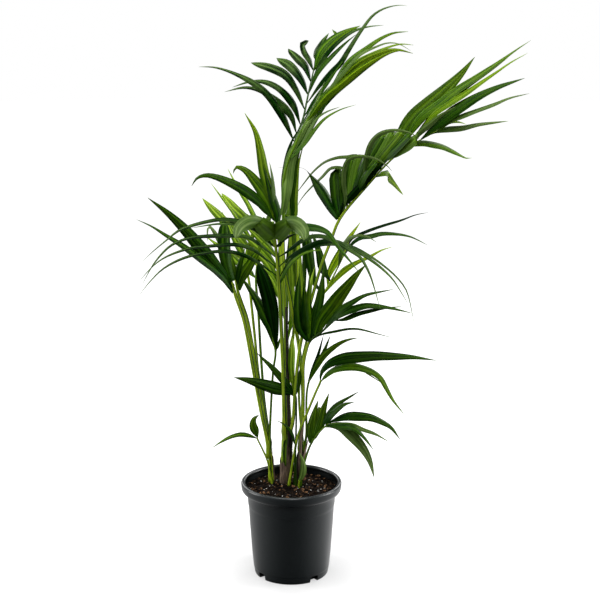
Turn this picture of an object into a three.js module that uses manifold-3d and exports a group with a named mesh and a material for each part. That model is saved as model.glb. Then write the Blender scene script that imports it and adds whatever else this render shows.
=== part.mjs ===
// Kentia palm in a nursery pot: three stems in one root ball, each carrying several feather fronds.
// Millimetres, +Z up. The origin is the middle of the pot's flat underside, on the ground.
import * as THREE from "three";
import { mergeVertices } from "three/addons/utils/BufferGeometryUtils.js";
import Module from "manifold-3d";

const wasm = await Module();
wasm.setup();

// ---- Driving sizes -------------------------------------------------------------------------------

const CLEARANCE = 0.3; // left between two pieces that touch
const RIB_GAP = 0.8; // between a rib and the strip of leaf beside it

const POT = {
  wall: 1.5,
  floor: 3,
  sides: 24, // facets round the pot
  lipRadius: 100.5, // centre line of the rolled lip
  lipRoll: 4.5, // radius of the roll itself
  lipHeight: 197,
  lipFrom: -70, // bearings round the roll where its outside begins and its inside ends, in degrees
  lipTo: 250,
  lipSteps: 4,
  // Outside of the wall as [radius, height], from the rounded foot up to the collar under the lip.
  outside: [[74, 0], [77, 3], [79, 14], [88, 149], [91, 153], [91.5, 168], [94, 176], [99, 181],
    [101.5, 192]],
  inside: [14, 149, 168, 176, 181, 192], // heights where the inner face bends
  insideRound: 2, // how far the inner face turns in to meet the floor
};
// The drain openings at the foot: first is the bearing of one of them in degrees, inset how far inside the
// ball's seat the cut begins.
const NOTCH = { count: 4, first: -52, width: 16, height: 11.5, depth: 20, inset: 2 };
const SOIL = { top: 183, seat: 62, shoulder: 13 }; // the ball narrows to its seat below the shoulder

// A stem is swollen by flare at its foot, and leans over most in its upper part.
const STEM = { sides: 10, steps: 5, flare: 1.6, lean: 0.35 };

const LEAFLET = {
  thickness: 1.8,
  root: 3.4, // width at the foot
  tip: 1.2, // width at the tip
  widest: 0.36, // where along its length it is broadest
  slant: 2.6, // most that its real width exceeds the width it shows from EYE
  stations: [0, 0.18, 0.42, 0.72, 1],
  short: 250, // a leaflet shorter than this has only fewStations
  fewStations: [0, 0.32, 0.68, 1],
  fineFrom: 0.9, // beyond this it is only fineShare as thick
  fineShare: 0.5,
};
// The strip along a rib that joins the feet of its leaflets.
const WEB = { width: 3.4, thickness: 2.4, steps: 3 };
const STALK = { sides: 5, steps: 5 };
const FACET_TOLERANCE = 0.12; // facets flatter than this are merged
const CURVE_SAMPLES = 240; // fine divisions for measuring along a curve

// ---- Colours -------------------------------------------------------------------------------------

const leafGreen = new THREE.MeshStandardMaterial({ color: 0x4f6a3a, roughness: 0.55, metalness: 0 });
const stalkGreen = new THREE.MeshStandardMaterial({ color: 0x93a455, roughness: 0.5, metalness: 0 });
const sheathBrown = new THREE.MeshStandardMaterial({ color: 0x6d5a41, roughness: 0.85, metalness: 0 });
const potCharcoal = new THREE.MeshStandardMaterial({ color: 0x2b2e30, roughness: 0.5, metalness: 0 });
const soilBrown = new THREE.MeshStandardMaterial({ color: 0x3a2a20, roughness: 0.95, metalness: 0 });

// ---- The front elevation -------------------------------------------------------------------------
// Stalks and leaflets are drafted on a front elevation: a point is [x, z, depth], where x and z are read
// on the upright plane through the pot's axis as it is sighted from EYE, and depth is the real distance
// behind that plane.

const EYE = new THREE.Vector3(18, -3000, 1332);

function place([x, z, depth]) {
  return EYE.clone().lerp(new THREE.Vector3(x, 0, z), 1 - depth / EYE.y);
}

function sight(point) {
  const onPlane = EYE.clone().lerp(point, 1 / (1 - point.y / EYE.y));
  return [onPlane.x, onPlane.z, point.y];
}

// ---- Stems and fronds ----------------------------------------------------------------------------

// A stem stands on the soil at foot and ends in a level top, where the stalks it carries stand in a ring.
// foot and top are [x, depth]; turn is the bearing of its first stalk, in degrees.
const STEMS = {
  left_stem: { foot: [-42, 41], top: [-47, 40], height: 270, radius: [6.2, 8.2], ring: 5.2, turn: 215,
    carries: ["left", "dark_inner", "back_left", "left_back", "left_inner"] },
  centre_stem: { foot: [-12, 36], top: [-9, 34], height: 296, radius: [11, 11.4], ring: 7.9, turn: 235,
    carries: ["front", "upper_right", "top", "back_centre", "upper_left"] },
  right_stem: { foot: [13, 28], top: [22, 27], height: 262, radius: [7.5, 8.6], ring: 5, turn: 330,
    carries: ["small_right", "right_back", "young", "right"] },
};

// A frond's stalk runs through its points and on along its rib, radius being [foot, first leaflet, end].
// A leaflet is [station on the rib, seen width, way points ..., tip], the tip with its depth. breadth is the
// real width of the frond's leaflets, which turn away where they look narrower. A frond with a foot stands
// on the soil instead of on a stem, and where it is joined its leaves spring from the end of its stalk.
const FRONDS = {
  top: {
    radius: [3.4, 2.6, 1.1], breadth: 26,
    stalk: [[-5, 400, 42], [1, 480, 38], [8, 560, 38], [13, 660, 38], [9, 760, 38], [5, 805, 38],
      [12, 870, 39]],
    rib: [[8, 912, 40], [23, 953, 64], [33, 1000, 98], [43, 1045, 134], [52, 1085, 166]],
    left: [
      [0.0, 12, [-50, 1010], [-110, 1047], [-180, 1059, 20]],
      [0.08, 24, [-30, 995], [-80, 1019], [-130, 1010, 50]],
      [0.18, 21, [-20, 1015], [-65, 1033], [-115, 1019, 90]],
      [0.35, 21, [-10, 1043], [-78, 1067, 130]],
      [0.52, 20, [-5, 1064], [-28, 1076, 160]],
      [0.67, 19, [18, 1066], [-5, 1094, 190]],
      [0.8, 16, [30, 1085], [26, 1101], [36, 1110, 215]],
    ],
    right: [
      [0.92, 17, [58, 1100], [74, 1124, 230]],
      [0.8, 23, [78, 1106], [135, 1138, 190]],
      [0.66, 14, [88, 1090], [180, 1139, 165]],
      [0.42, 16, [85, 1055], [140, 1135], [182, 1171], [226, 1176, 110]],
    ],
  },
  young: {
    radius: [3.4, 3, 1], breadth: 22,
    stalk: [[22, 340, 30], [24, 390, 28], [19, 466, 26], [4, 533, 22], [-6, 573, 20], [-12, 625, 18],
      [-14, 690, 18]],
    rib: [[-15, 765, 16], [-16, 820, 14], [-8, 866, 12], [14, 918, 12], [36, 962, 16], [58, 1002, 22]],
    left: [
      [0.04, 18, [-15, 815, 6], [2, 895, 0], [44, 970, 8]],
    ],
    right: [
      [0.97, 14, [110, 1070], [175, 1121], [228, 1127, 70]],
      [0.92, 8, [130, 1083], [190, 1106], [234, 1090, 30]],
      [0.88, 8, [120, 1069], [190, 1102], [239, 1101, 50]],
      [0.78, 24, [78, 1024], [150, 1077], [238, 1085, 5]],
      [0.34, 16, [36, 955, 40], [66, 1030, 60]],
      [0.62, 6, [48, 954], [96, 982, 0]],
      [0.52, 6, [58, 952], [128, 986, -35]],
    ],
  },
  upper_right: {
    radius: [3.7, 2.5, 1], breadth: 30,
    stalk: [[-2, 345, 8], [5, 414, 0], [17, 484, 2], [26, 530, 14], [48, 611, 34], [63, 662, 26],
      [77, 712, 14]],
    rib: [[92, 756, 4], [150, 825, -4], [210, 886, -8], [290, 935, -14]],
    left: [
      [0.02, 17, [60, 810], [28, 857], [-25, 860, 70]],
      [0.07, 23, [86, 815], [92, 857], [104, 855, 50]],
      [0.12, 5, [104, 856], [60, 846], [11, 779, 90]],
      [0.17, 42, [126, 835], [148, 878], [200, 856, -60]],
      [0.22, 4, [138, 882], [70, 870], [7, 803, 110]],
      [0.3, 32, [152, 850], [168, 872], [196, 866, -80]],
      [0.4, 52, [172, 885], [200, 925], [245, 925, -110]],
      [0.5, 36, [200, 895], [218, 918], [238, 912, -90]],
      [0.6, 36, [240, 960], [300, 1020], [359, 1078, 50]],
      [0.7, 20, [290, 985], [380, 1050], [467, 1110, 20]],
      [0.8, 12, [310, 985], [385, 1036], [463, 1086, -20]],
      [0.9, 20, [320, 975], [390, 1015], [460, 1038, -50]],
      [1.0, 9, [340, 965], [400, 986], [468, 1007, -70]],
    ],
    right: [
      [0.5, 10, [196, 852], [224, 805, 60]],
      [0.74, 13, [270, 910], [322, 893], [360, 880, 90]],
      [0.9, 10, [320, 937], [430, 953, 60]],
    ],
  },
  front: {
    radius: [4, 3.8, 1.5], breadth: 28,
    stalk: [[-15, 340, 8], [-16, 420, -2], [-19, 500, -14], [-22, 575, -32]],
    rib: [[-24, 610, -44], [-28, 670, -82], [-34, 730, -132], [-36, 750, -156]],
    left: [
      [0.1, 9, [-80, 683], [-170, 688], [-250, 660], [-310, 597, -110]],
      [0.25, 9, [-90, 709], [-190, 699], [-262, 672], [-308, 628, -140]],
      [0.4, 10, [-95, 725], [-200, 719], [-262, 683], [-302, 620, -185]],
      [0.55, 11, [-70, 728], [-140, 745], [-200, 738, -205]],
      [0.68, 13, [-70, 734], [-140, 756], [-230, 730], [-299, 670, -235]],
      [0.95, 30, [-58, 762], [-95, 752], [-112, 720, -255]],
    ],
    right: [
      [0.08, 12, [5, 672], [62, 694, -50]],
      [0.22, 6, [50, 703], [130, 698], [222, 622], [252, 530, -110]],
      [0.38, 11, [50, 708], [115, 702], [195, 642], [239, 578, -160]],
      [0.52, 10, [35, 722], [100, 706], [155, 655], [181, 570, -190]],
      [0.72, 15, [20, 742], [75, 728], [140, 643, -230]],
      [0.95, 28, [-10, 757], [16, 750], [26, 715, -250]],
    ],
  },
  left: {
    radius: [3.4, 3.1, 1.6], breadth: 25,
    stalk: [[-58, 340, 30], [-75, 427, 24], [-86, 490, 14], [-97, 551, 2]],
    rib: [[-113, 600, -12], [-116, 614, -18], [-120, 628, -24]],
    left: [
      [0.1, 15, [-180, 668], [-250, 723], [-310, 756, -100]],
      [0.6, 24, [-165, 685], [-225, 742], [-286, 800, -70]],
      [0.97, 15, [-146, 712, -58], [-166, 736], [-169, 708, -60]],
    ],
    right: [[1.0, 23, [-122, 690, -14], [-130, 755, 0]]],
  },
  left_inner: {
    radius: [3.1, 2.8, 1.4], breadth: 20,
    stalk: [[-54, 340, 44], [-68, 429, 42], [-78, 490, 36], [-89, 551, 26]],
    rib: [[-106, 600, 16], [-110, 618, 12], [-113, 632, 8]],
    left: [[1.0, 20, [-122, 660], [-128, 700, 0]]],
    right: [
      [0.3, 17, [-88, 665], [-74, 700, 20]],
      [0.7, 11, [-106, 665], [-100, 696, 6]],
    ],
  },
  left_back: {
    radius: [3.2, 3, 1.4], breadth: 20,
    stalk: [[-54, 330, 58], [-62, 390, 66], [-68, 440, 68], [-75, 510, 66], [-81, 580, 62]],
    rib: [[-85, 628, 62], [-88, 645, 66], [-92, 662, 72]],
    left: [
      [0.4, 14, [-130, 690], [-172, 722, 120]],
      [0.9, 14, [-112, 715], [-138, 772, 130]],
    ],
    right: [[0.9, 16, [-82, 700, 100], [-76, 740, 140]]],
  },
  back_left: {
    radius: [2.9, 2.7, 1.3], breadth: 22,
    stalk: [[-50, 330, 50], [-56, 380, 55], [-60, 440, 60], [-63, 490, 68], [-67, 572, 78]],
    rib: [[-71, 630, 90], [-66, 680, 108], [-56, 740, 134]],
    left: [
      [0.05, 16, [-100, 672], [-135, 700, 170]],
      [0.3, 17, [-110, 728], [-177, 799, 200]],
      [0.5, 9, [-110, 762], [-160, 830, 220]],
      [0.7, 18, [-90, 758], [-138, 809, 240]],
      [0.9, 9, [-84, 785], [-126, 859, 250]],
    ],
    right: [
      [0.3, 14, [-48, 700], [-30, 745, 160]],
      [0.7, 14, [-48, 745], [-36, 790, 190]],
    ],
  },
  upper_left: {
    radius: [3.2, 3, 1.4], breadth: 24,
    stalk: [[-14, 400, 48], [-11, 500, 54], [-14, 600, 60], [-24, 690, 64]],
    rib: [[-33, 745, 68], [-34, 765, 72], [-36, 785, 78]],
    left: [
      [0.3, 19, [-95, 817], [-155, 843], [-198, 823, 110]],
      [0.6, 23, [-72, 836], [-100, 862], [-115, 848, 130]],
      [0.9, 22, [-56, 850], [-66, 920], [-92, 970, 150]],
    ],
    right: [[0.9, 8, [-34, 825], [-43, 873, 110]]],
  },
  back_centre: {
    radius: [3, 2.4, 1.2], breadth: 22,
    stalk: [[-18, 400, 56], [-16, 450, 60]],
    rib: [[-16, 500, 66], [-20, 580, 84], [-25, 640, 98], [-24, 700, 114], [-20, 750, 130]],
    left: [
      [0.42, 13, [-60, 662], [-112, 705, 66]],
      [0.6, 14, [-64, 700], [-110, 735, 80]],
      [0.8, 14, [-60, 730], [-98, 752, 96]],
    ],
    right: [
      [0.04, 16, [11, 592], [13, 670], [4, 780, 120]],
      [0.2, 14, [20, 612], [21, 665], [14, 750, 130]],
      [0.6, 18, [6, 690], [26, 728, 170]],
      [0.86, 14, [-8, 760], [-2, 800, 190]],
    ],
  },
  right_back: {
    radius: [2.8, 2.2, 1.2], breadth: 22,
    stalk: [[16, 400, 46], [28, 490, 60], [48, 555, 70]],
    rib: [[65, 600, 80], [82, 632, 90], [98, 665, 100], [112, 695, 112]],
    left: [
      [0.05, 22, [44, 640], [34, 695, 110]],
      [0.3, 14, [58, 690], [38, 728, 140]],
      [0.2, 16, [95, 680], [139, 750, 160]],
    ],
    right: [
      [0.05, 11, [105, 650], [150, 676], [205, 700, 110]],
      [0.6, 8, [120, 719, 84], [172, 709, 60]],
      [0.85, 9, [180, 728], [240, 720], [275, 703, 160]],
      [0.98, 6, [160, 736], [220, 754], [275, 770, 210]],
    ],
  },
  right: {
    radius: [3.4, 3, 1.3], breadth: 30,
    stalk: [[24, 340, 14], [25, 400, 6], [25, 450, -6], [28, 478, -14]],
    rib: [[34, 497, -20], [58, 519, -32], [90, 548, -52]],
    left: [
      [0.0, 22, [20, 565], [12, 628, 10]],
      [0.04, 20, [34, 600], [28, 662, 20]],
      [0.1, 24, [54, 600], [69, 670, 20]],
      [0.25, 32, [90, 600], [152, 668, -30]],
      [0.55, 10, [105, 588], [209, 618, -70]],
      [0.75, 11, [130, 588], [190, 588], [246, 570, -100]],
      [0.95, 8, [140, 573], [227, 587, -85]],
    ],
    right: [[0.1, 5, [100, 526], [160, 523], [214, 508, -50]]],
  },
  low_right: {
    radius: [2.6, 2.2, 1.3], breadth: 22, foot: [19, 14],
    stalk: [[24, 225, 11], [31, 255, 6]],
    rib: [[40, 280, 1], [52, 300, -6], [65, 315, -14], [78, 327, -24]],
    left: [
      [0.05, 23, [46, 330], [56, 378, 0]],
      [0.35, 17, [68, 350], [78, 393, -10]],
      [0.7, 11, [96, 370], [140, 396, -10]],
      [0.85, 13, [102, 360], [132, 373, -40]],
      [1.0, 19, [120, 343], [185, 334], [226, 291, -80]],
    ],
    right: [
      [0.8, 24, [110, 312], [155, 268], [173, 207, -120]],
      [0.9, 12, [125, 314], [172, 267, -140]],
      [1.0, 10, [130, 321], [203, 286, -110]],
    ],
  },
  dark_inner: {
    radius: [2.6, 2.3, 1.6], breadth: 30,
    stalk: [[-44, 320, 36], [-41, 380, 30], [-37, 440, 24]],
    rib: [[-32, 480, 18], [-36, 500, 18], [-42, 525, 18]],
    left: [[0.3, 17, [-60, 560], [-103, 640, 34]]],
    right: [
      [0.1, 6, [-26, 500], [-22, 510, 22]],
      [0.6, 28, [-37, 562], [-52, 606], [-68, 664, 14]],
    ],
  },
  two_leaf: {
    radius: [2.9, 2.4, 2.2], breadth: 26, foot: [-5, 15], joined: true,
    stalk: [[0, 222, 12], [6, 260, 8], [14, 300, 2], [31, 345, -6], [50, 393, -14]],
    rib: [[59, 414, -18], [61, 420, -19]],
    left: [[0.9, 24, [78, 456], [150, 471], [298, 462, -50]]],
    right: [[0.6, 15, [90, 442], [150, 446], [200, 395], [235, 344, -80]]],
  },
  small_right: {
    radius: [2.6, 2.2, 2], breadth: 14, joined: true,
    stalk: [[32, 310, 19], [33, 360, 14], [35, 405, 11]],
    rib: [[39, 424, 9], [43, 434, 8]],
    left: [[0.7, 8, [52, 480], [56, 512, 14]], [0.9, 7, [62, 478], [77, 515, 4]]],
    right: [[0.8, 12, [60, 468], [95, 499], [137, 510, -20]]],
  },
  low_left: {
    radius: [2.2, 1.8, 1.8], breadth: 18, foot: [-40, 24], joined: true,
    stalk: [[-50, 245, 24], [-60, 270, 20]],
    rib: [[-70, 292, 16], [-71, 296, 16]],
    left: [[0.6, 10, [-105, 303], [-166, 272, -20]]],
    right: [[0.9, 18, [-78, 322], [-67, 345, 12]]],
  },
  low_inner: {
    radius: [2.2, 1.9, 1.9], breadth: 17, foot: [6, 17], joined: true,
    stalk: [[8, 250, 17], [10, 320, 15]],
    rib: [[10, 382, 13], [9, 386, 13]],
    left: [[0.5, 27, [-30, 402, 6], [-118, 426, 2]], [0.9, 16, [-25, 430, 8], [-71, 479, 6]],
      [1.0, 13, [5, 440, 15], [6, 512, 14]]],
    right: [],
  },
  small_leaf: {
    radius: [1.8, 1.5, 1.4], breadth: 9, foot: [9, 7], joined: true,
    stalk: [[9, 230, 2], [9, 262, -6]],
    rib: [[8, 280, -10], [7, 284, -10]],
    left: [[0.6, 7, [-8, 318], [-33, 333, -20]]],
    right: [],
  },
  scale_leaf: {
    radius: [2.2, 2, 2], breadth: 14, foot: [16, 5], joined: true,
    stalk: [[16, 193, 4]],
    rib: [[17, 198, 3], [17, 202, 3]],
    left: [[0.5, 13, [22, 228], [15, 260, 2]]],
    right: [],
  },
};

// ---- Making solids -------------------------------------------------------------------------------

// A straight closed rod of unit radius along Y, for sweep() to bend.
function rod(sides, steps) {
  return new THREE.CylinderGeometry(1, 1, 1, sides, steps);
}

// A straight closed blade along Y, from -1 to 1 in X and Z, for sweep() to bend. It is a wedge, thin along
// one edge. Its lower face is divided along the same diagonals as its upper one, so the two stay apart
// where the blade twists.
function wedge(steps) {
  const geometry = new THREE.CylinderGeometry(1, 1, 1, 3, steps, false, -Math.PI / 2);
  const { array } = geometry.index;
  for (let quad = 2 * steps; quad < 3 * steps; quad += 1) {
    const [a, b, d, , c] = array.slice(6 * quad, 6 * quad + 5);
    array.set([a, b, c, a, c, d], 6 * quad);
  }
  return geometry.translate(0.25, 0, 0).scale(1 / 0.75, 1, 1 / Math.sin(Math.PI / 3));
}

// A rod or wedge bent along the stretch of a curve between the two fractions in span. ring(t, tangent, point)
// gives its half width and half thickness, the way its upper side faces and whether it is cut level there.
function sweep(curve, span, geometry, stations, ring) {
  geometry.deleteAttribute("normal");
  geometry.deleteAttribute("uv");
  const rings = stations.map((t) => {
    const centre = curve.getPointAt(THREE.MathUtils.lerp(...span, t));
    const tangent = curve.getTangentAt(THREE.MathUtils.lerp(...span, t));
    const { width, thickness, up, level } = ring(t, tangent, centre);
    const along = level ? new THREE.Vector3(0, 0, 1) : tangent;
    const top = up.clone().addScaledVector(along, -up.dot(along)).normalize();
    const across = along.clone().cross(top);
    return { centre, across: across.multiplyScalar(width), top: top.multiplyScalar(thickness) };
  });
  const position = geometry.attributes.position;
  for (let i = 0; i < position.count; i += 1) {
    const { centre, across, top } = rings[Math.round((position.getY(i) + 0.5) * (stations.length - 1))];
    const at = centre.clone().addScaledVector(across, position.getX(i));
    at.addScaledVector(top, position.getZ(i));
    position.setXYZ(i, at.x, at.y, at.z);
  }
  return mergeVertices(geometry, 1e-3);
}

function evenSteps(count) {
  return Array.from({ length: count + 1 }, (_, i) => i / count);
}

function smoothCurve(points) {
  return new THREE.CatmullRomCurve3(points, false, "centripetal");
}

function towardsEye(point) {
  return EYE.clone().sub(point).normalize();
}

function solidFrom(geometry) {
  return new wasm.Manifold(new wasm.Mesh({
    numProp: 3,
    vertProperties: new Float32Array(geometry.attributes.position.array),
    triVerts: new Uint32Array(geometry.index.array),
  }));
}

function geometryFrom(solid) {
  const { vertProperties, triVerts } = solid.getMesh();
  const geometry = new THREE.BufferGeometry();
  geometry.setAttribute("position", new THREE.BufferAttribute(vertProperties, 3));
  geometry.setIndex(new THREE.BufferAttribute(triVerts, 1));
  return geometry;
}

function joined(geometries) {
  const whole = geometries.map(solidFrom).reduce((sum, next) => sum.add(next));
  return geometryFrom(whole.simplify(FACET_TOLERANCE));
}

const WHOLE = [0, 1];

const palm = new THREE.Group();

function addNode(name, geometry, material) {
  const mesh = new THREE.Mesh(geometry, material);
  mesh.name = name;
  palm.add(mesh);
}

// ---- The pot and its root ball -------------------------------------------------------------------

function potInside() {
  return POT.outside.filter(([, z]) => POT.inside.includes(z)).map(([r, z]) => [r - POT.wall, z]);
}

function lipArc() {
  return evenSteps(POT.lipSteps).map((t) => {
    const angle = THREE.MathUtils.degToRad(THREE.MathUtils.lerp(POT.lipFrom, POT.lipTo, t));
    return [POT.lipRadius + POT.lipRoll * Math.cos(angle), POT.lipHeight + POT.lipRoll * Math.sin(angle)];
  });
}

function potGeometry() {
  const inside = potInside().reverse();
  const floorEdge = [inside.at(-1)[0] - POT.insideRound, POT.floor];
  const profile = [[0, 0], ...POT.outside, ...lipArc(), ...inside, floorEdge, [0, POT.floor]];
  const wall = new THREE.LatheGeometry(profile.map(([r, z]) => new THREE.Vector2(r, z)), POT.sides);
  wall.rotateX(Math.PI / 2);
  wall.deleteAttribute("normal");
  wall.deleteAttribute("uv");
  return mergeVertices(wall, 1e-3);
}

// One arched drain opening at the foot, as the block that is cut away, from just below the ground.
function notchGeometry(bearing) {
  const half = NOTCH.width / 2;
  const below = -1;
  const shape = new THREE.Shape();
  shape.moveTo(-half, below);
  shape.lineTo(half, below);
  shape.lineTo(half, NOTCH.height - half / 2);
  shape.quadraticCurveTo(half, NOTCH.height, half / 2, NOTCH.height);
  shape.lineTo(-half / 2, NOTCH.height);
  shape.quadraticCurveTo(-half, NOTCH.height, -half, NOTCH.height - half / 2);
  const cut = { depth: NOTCH.depth, bevelEnabled: false, curveSegments: 4 };
  const block = new THREE.ExtrudeGeometry(shape, cut);
  block.deleteAttribute("normal");
  block.deleteAttribute("uv");
  block.rotateX(Math.PI / 2);
  block.translate(0, -SOIL.seat - NOTCH.inset, 0);
  block.rotateZ(THREE.MathUtils.degToRad(bearing));
  return mergeVertices(block, 1e-3);
}

function addPot() {
  let pot = solidFrom(potGeometry());
  for (let i = 0; i < NOTCH.count; i += 1) {
    pot = pot.subtract(solidFrom(notchGeometry(NOTCH.first + (360 / NOTCH.count) * i)));
  }
  addNode("pot", geometryFrom(pot), potCharcoal);
}

function addSoil() {
  const wall = potInside().filter(([, z]) => z > SOIL.shoulder && z < SOIL.top);
  const rim = wall.at(-1)[0] - CLEARANCE;
  const side = wall.map(([r, z]) => [r - CLEARANCE, z]);
  const profile = [[0, POT.floor + CLEARANCE], [SOIL.seat, POT.floor + CLEARANCE], ...side, [rim, SOIL.top],
    [0, SOIL.top]];
  const ball = new THREE.LatheGeometry(profile.map(([r, z]) => new THREE.Vector2(r, z)), POT.sides);
  ball.rotateX(Math.PI / 2);
  ball.deleteAttribute("normal");
  ball.deleteAttribute("uv");
  addNode("soil", mergeVertices(ball, 1e-3), soilBrown);
}

// ---- Stems, stalks and leaflets ------------------------------------------------------------------

const SOIL_SEAT = SOIL.top + CLEARANCE;

function addStem(name, { foot, top, height, radius }) {
  const low = new THREE.Vector3(...foot, SOIL_SEAT);
  const high = new THREE.Vector3(...top, height);
  const bend = new THREE.Vector3().lerpVectors(low, high, 0.5);
  bend.setX(THREE.MathUtils.lerp(low.x, high.x, STEM.lean));
  const curve = smoothCurve([low, bend, high]);
  const stations = evenSteps(STEM.steps);
  const geometry = sweep(curve, WHOLE, rod(STEM.sides, STEM.steps), stations, (t, tangent, centre) => {
    const size = THREE.MathUtils.lerp(radius[0], radius[1], t) + STEM.flare * (1 - t) ** 3;
    return { width: size, thickness: size, up: towardsEye(centre), level: t === 0 || t === 1 };
  });
  addNode(name, geometry, sheathBrown);
}

// Where a frond's stalk stands: on the soil, or on its place in the ring on top of its stem.
function standing(name) {
  const frond = FRONDS[name];
  if (frond.foot) return new THREE.Vector3(...frond.foot, SOIL_SEAT);
  const stem = Object.values(STEMS).find(({ carries }) => carries.includes(name));
  const { top, height, ring, turn, carries } = stem;
  const bearing = THREE.MathUtils.degToRad(turn + (360 / carries.length) * carries.indexOf(name));
  return new THREE.Vector3(top[0] + ring * Math.cos(bearing), top[1] + ring * Math.sin(bearing),
    height + CLEARANCE);
}

// The line of a frond's stalk and rib, and the fraction of it where the rib begins.
function limb(name, frond) {
  const points = [standing(name), ...[...frond.stalk, ...frond.rib].map(place)];
  const curve = smoothCurve(points);
  const lengths = curve.getLengths(CURVE_SAMPLES);
  const ribBegins = Math.round((CURVE_SAMPLES * (frond.stalk.length + 1)) / (points.length - 1));
  return { curve, bare: lengths[ribBegins] / lengths.at(-1) };
}

function limbRadius({ radius }, bare, t) {
  if (t <= bare) return THREE.MathUtils.lerp(radius[0], radius[1], t / bare);
  return THREE.MathUtils.lerp(radius[1], radius[2], (t - bare) / (1 - bare));
}

// The stalk and, unless the leaves are joined at its end, the rib in one tapering limb.
function addStalk(name, frond, { curve, bare }) {
  const petiole = evenSteps(STALK.steps).map((t) => t * bare);
  const rib = evenSteps(WEB.steps).map((t) => THREE.MathUtils.lerp(bare, 1, t));
  const stations = frond.joined ? petiole : [...petiole, ...rib.slice(1)];
  const blank = rod(STALK.sides, stations.length - 1);
  const geometry = sweep(curve, WHOLE, blank, stations, (t, tangent, centre) => {
    const size = limbRadius(frond, bare, t);
    return { width: size, thickness: size, up: towardsEye(centre), level: t === 0 };
  });
  addNode(name + "_stalk", geometry, stalkGreen);
}

// Leaves joined at a stalk's end spring from a short hub that carries the stalk on.
function hub(frond, { curve, bare }) {
  const gap = CLEARANCE / curve.getLength();
  const line = smoothCurve(evenSteps(2).map((t) => curve.getPointAt(THREE.MathUtils.lerp(bare + gap, 1, t))));
  const geometry = sweep(line, WHOLE, rod(STALK.sides, 1), evenSteps(1), (t, tangent, centre) => (
    { width: frond.radius[1], thickness: frond.radius[1], up: towardsEye(centre) }));
  return { line, geometry };
}

// The strip beside a rib, on its right (side 1) or its left (side -1), that its leaflets spring from.
function web(frond, { curve, bare }, side) {
  const steps = evenSteps(WEB.steps);
  const line = smoothCurve(steps.map((t) => {
    const along = THREE.MathUtils.lerp(bare, 1, t);
    const point = curve.getPointAt(along);
    const across = curve.getTangentAt(along).cross(towardsEye(point)).normalize();
    const away = limbRadius(frond, bare, along) + RIB_GAP + WEB.width / 2;
    return point.addScaledVector(across, side * away);
  }));
  const geometry = sweep(line, WHOLE, rod(4, WEB.steps), steps, (t, tangent, centre) => (
    { width: WEB.width / 2, thickness: WEB.thickness / 2, up: towardsEye(centre) }));
  return { line, geometry };
}

// Width along a leaflet: it opens from its narrow foot to its widest place and draws out to a fine tip.
function leafletWidth(t, widest) {
  if (t < LEAFLET.widest) {
    return THREE.MathUtils.lerp(LEAFLET.root, widest, Math.sin((Math.PI / 2) * (t / LEAFLET.widest)));
  }
  return THREE.MathUtils.lerp(widest, LEAFLET.tip, ((t - LEAFLET.widest) / (1 - LEAFLET.widest)) ** 1.6);
}

// Way points of a leaflet in space. Where one gives no depth, it lies in proportion between foot and tip.
function leafletCurve(foot, way) {
  const start = sight(foot);
  const drawn = [start, ...way];
  const lengths = [0];
  for (let i = 1; i < drawn.length; i += 1) {
    lengths.push(lengths[i - 1] + Math.hypot(drawn[i][0] - drawn[i - 1][0], drawn[i][1] - drawn[i - 1][1]));
  }
  const endDepth = way.at(-1)[2];
  const points = drawn.map(([x, z, depth], i) => (
    place([x, z, depth ?? THREE.MathUtils.lerp(start[2], endDepth, lengths[i] / lengths.at(-1))])));
  return smoothCurve(points);
}

function leafletGeometry(foot, seen, breadth, way) {
  const curve = leafletCurve(foot, way);
  const real = Math.max(seen, Math.min(breadth, seen * LEAFLET.slant));
  const turn = Math.acos(seen / real);
  const middle = curve.getTangentAt(0.5);
  const upwards = Math.sign(middle.cross(towardsEye(curve.getPointAt(0.5))).z) || 1;
  const stations = curve.getLength() < LEAFLET.short ? LEAFLET.fewStations : LEAFLET.stations;
  return sweep(curve, WHOLE, wedge(stations.length - 1), stations, (t, tangent, centre) => {
    const facing = towardsEye(centre);
    facing.addScaledVector(tangent, -facing.dot(tangent)).normalize();
    const rise = tangent.clone().cross(facing).multiplyScalar(upwards);
    const up = facing.multiplyScalar(Math.cos(turn)).addScaledVector(rise, Math.sin(turn));
    const share = t > LEAFLET.fineFrom ? LEAFLET.fineShare : 1;
    return { width: leafletWidth(t, real) / 2, thickness: (LEAFLET.thickness / 2) * share, up };
  });
}

function blade({ line, geometry }, rows, breadth) {
  const leaflets = rows.map(([station, seen, ...way]) => (
    leafletGeometry(line.getPointAt(station), seen, breadth, way)));
  return joined([geometry, ...leaflets]);
}

function addBlades(name, frond, shape) {
  if (frond.joined) {
    const leaves = [...frond.left, ...frond.right];
    addNode(name + "_leaves", blade(hub(frond, shape), leaves, frond.breadth), leafGreen);
    return;
  }
  addNode(name + "_left", blade(web(frond, shape, -1), frond.left, frond.breadth), leafGreen);
  addNode(name + "_right", blade(web(frond, shape, 1), frond.right, frond.breadth), leafGreen);
}

addPot();
addSoil();
for (const [name, stem] of Object.entries(STEMS)) addStem(name, stem);
for (const [name, frond] of Object.entries(FRONDS)) {
  const shape = limb(name, frond);
  addStalk(name, frond, shape);
  addBlades(name, frond, shape);
}

export default palm;
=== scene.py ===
import math
import random
from bisect import bisect_right

import bmesh
import bpy
from mathutils import Matrix, Vector, noise


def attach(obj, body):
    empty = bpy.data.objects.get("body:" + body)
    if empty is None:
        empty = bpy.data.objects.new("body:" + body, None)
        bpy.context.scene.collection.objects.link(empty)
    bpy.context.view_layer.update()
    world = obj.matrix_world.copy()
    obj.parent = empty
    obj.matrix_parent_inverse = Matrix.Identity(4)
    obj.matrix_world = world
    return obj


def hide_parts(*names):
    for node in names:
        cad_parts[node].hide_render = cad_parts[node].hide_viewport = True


# A kentia palm in a nursery pot. The tables are in millimetres, and every mesh is made in metres.

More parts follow.
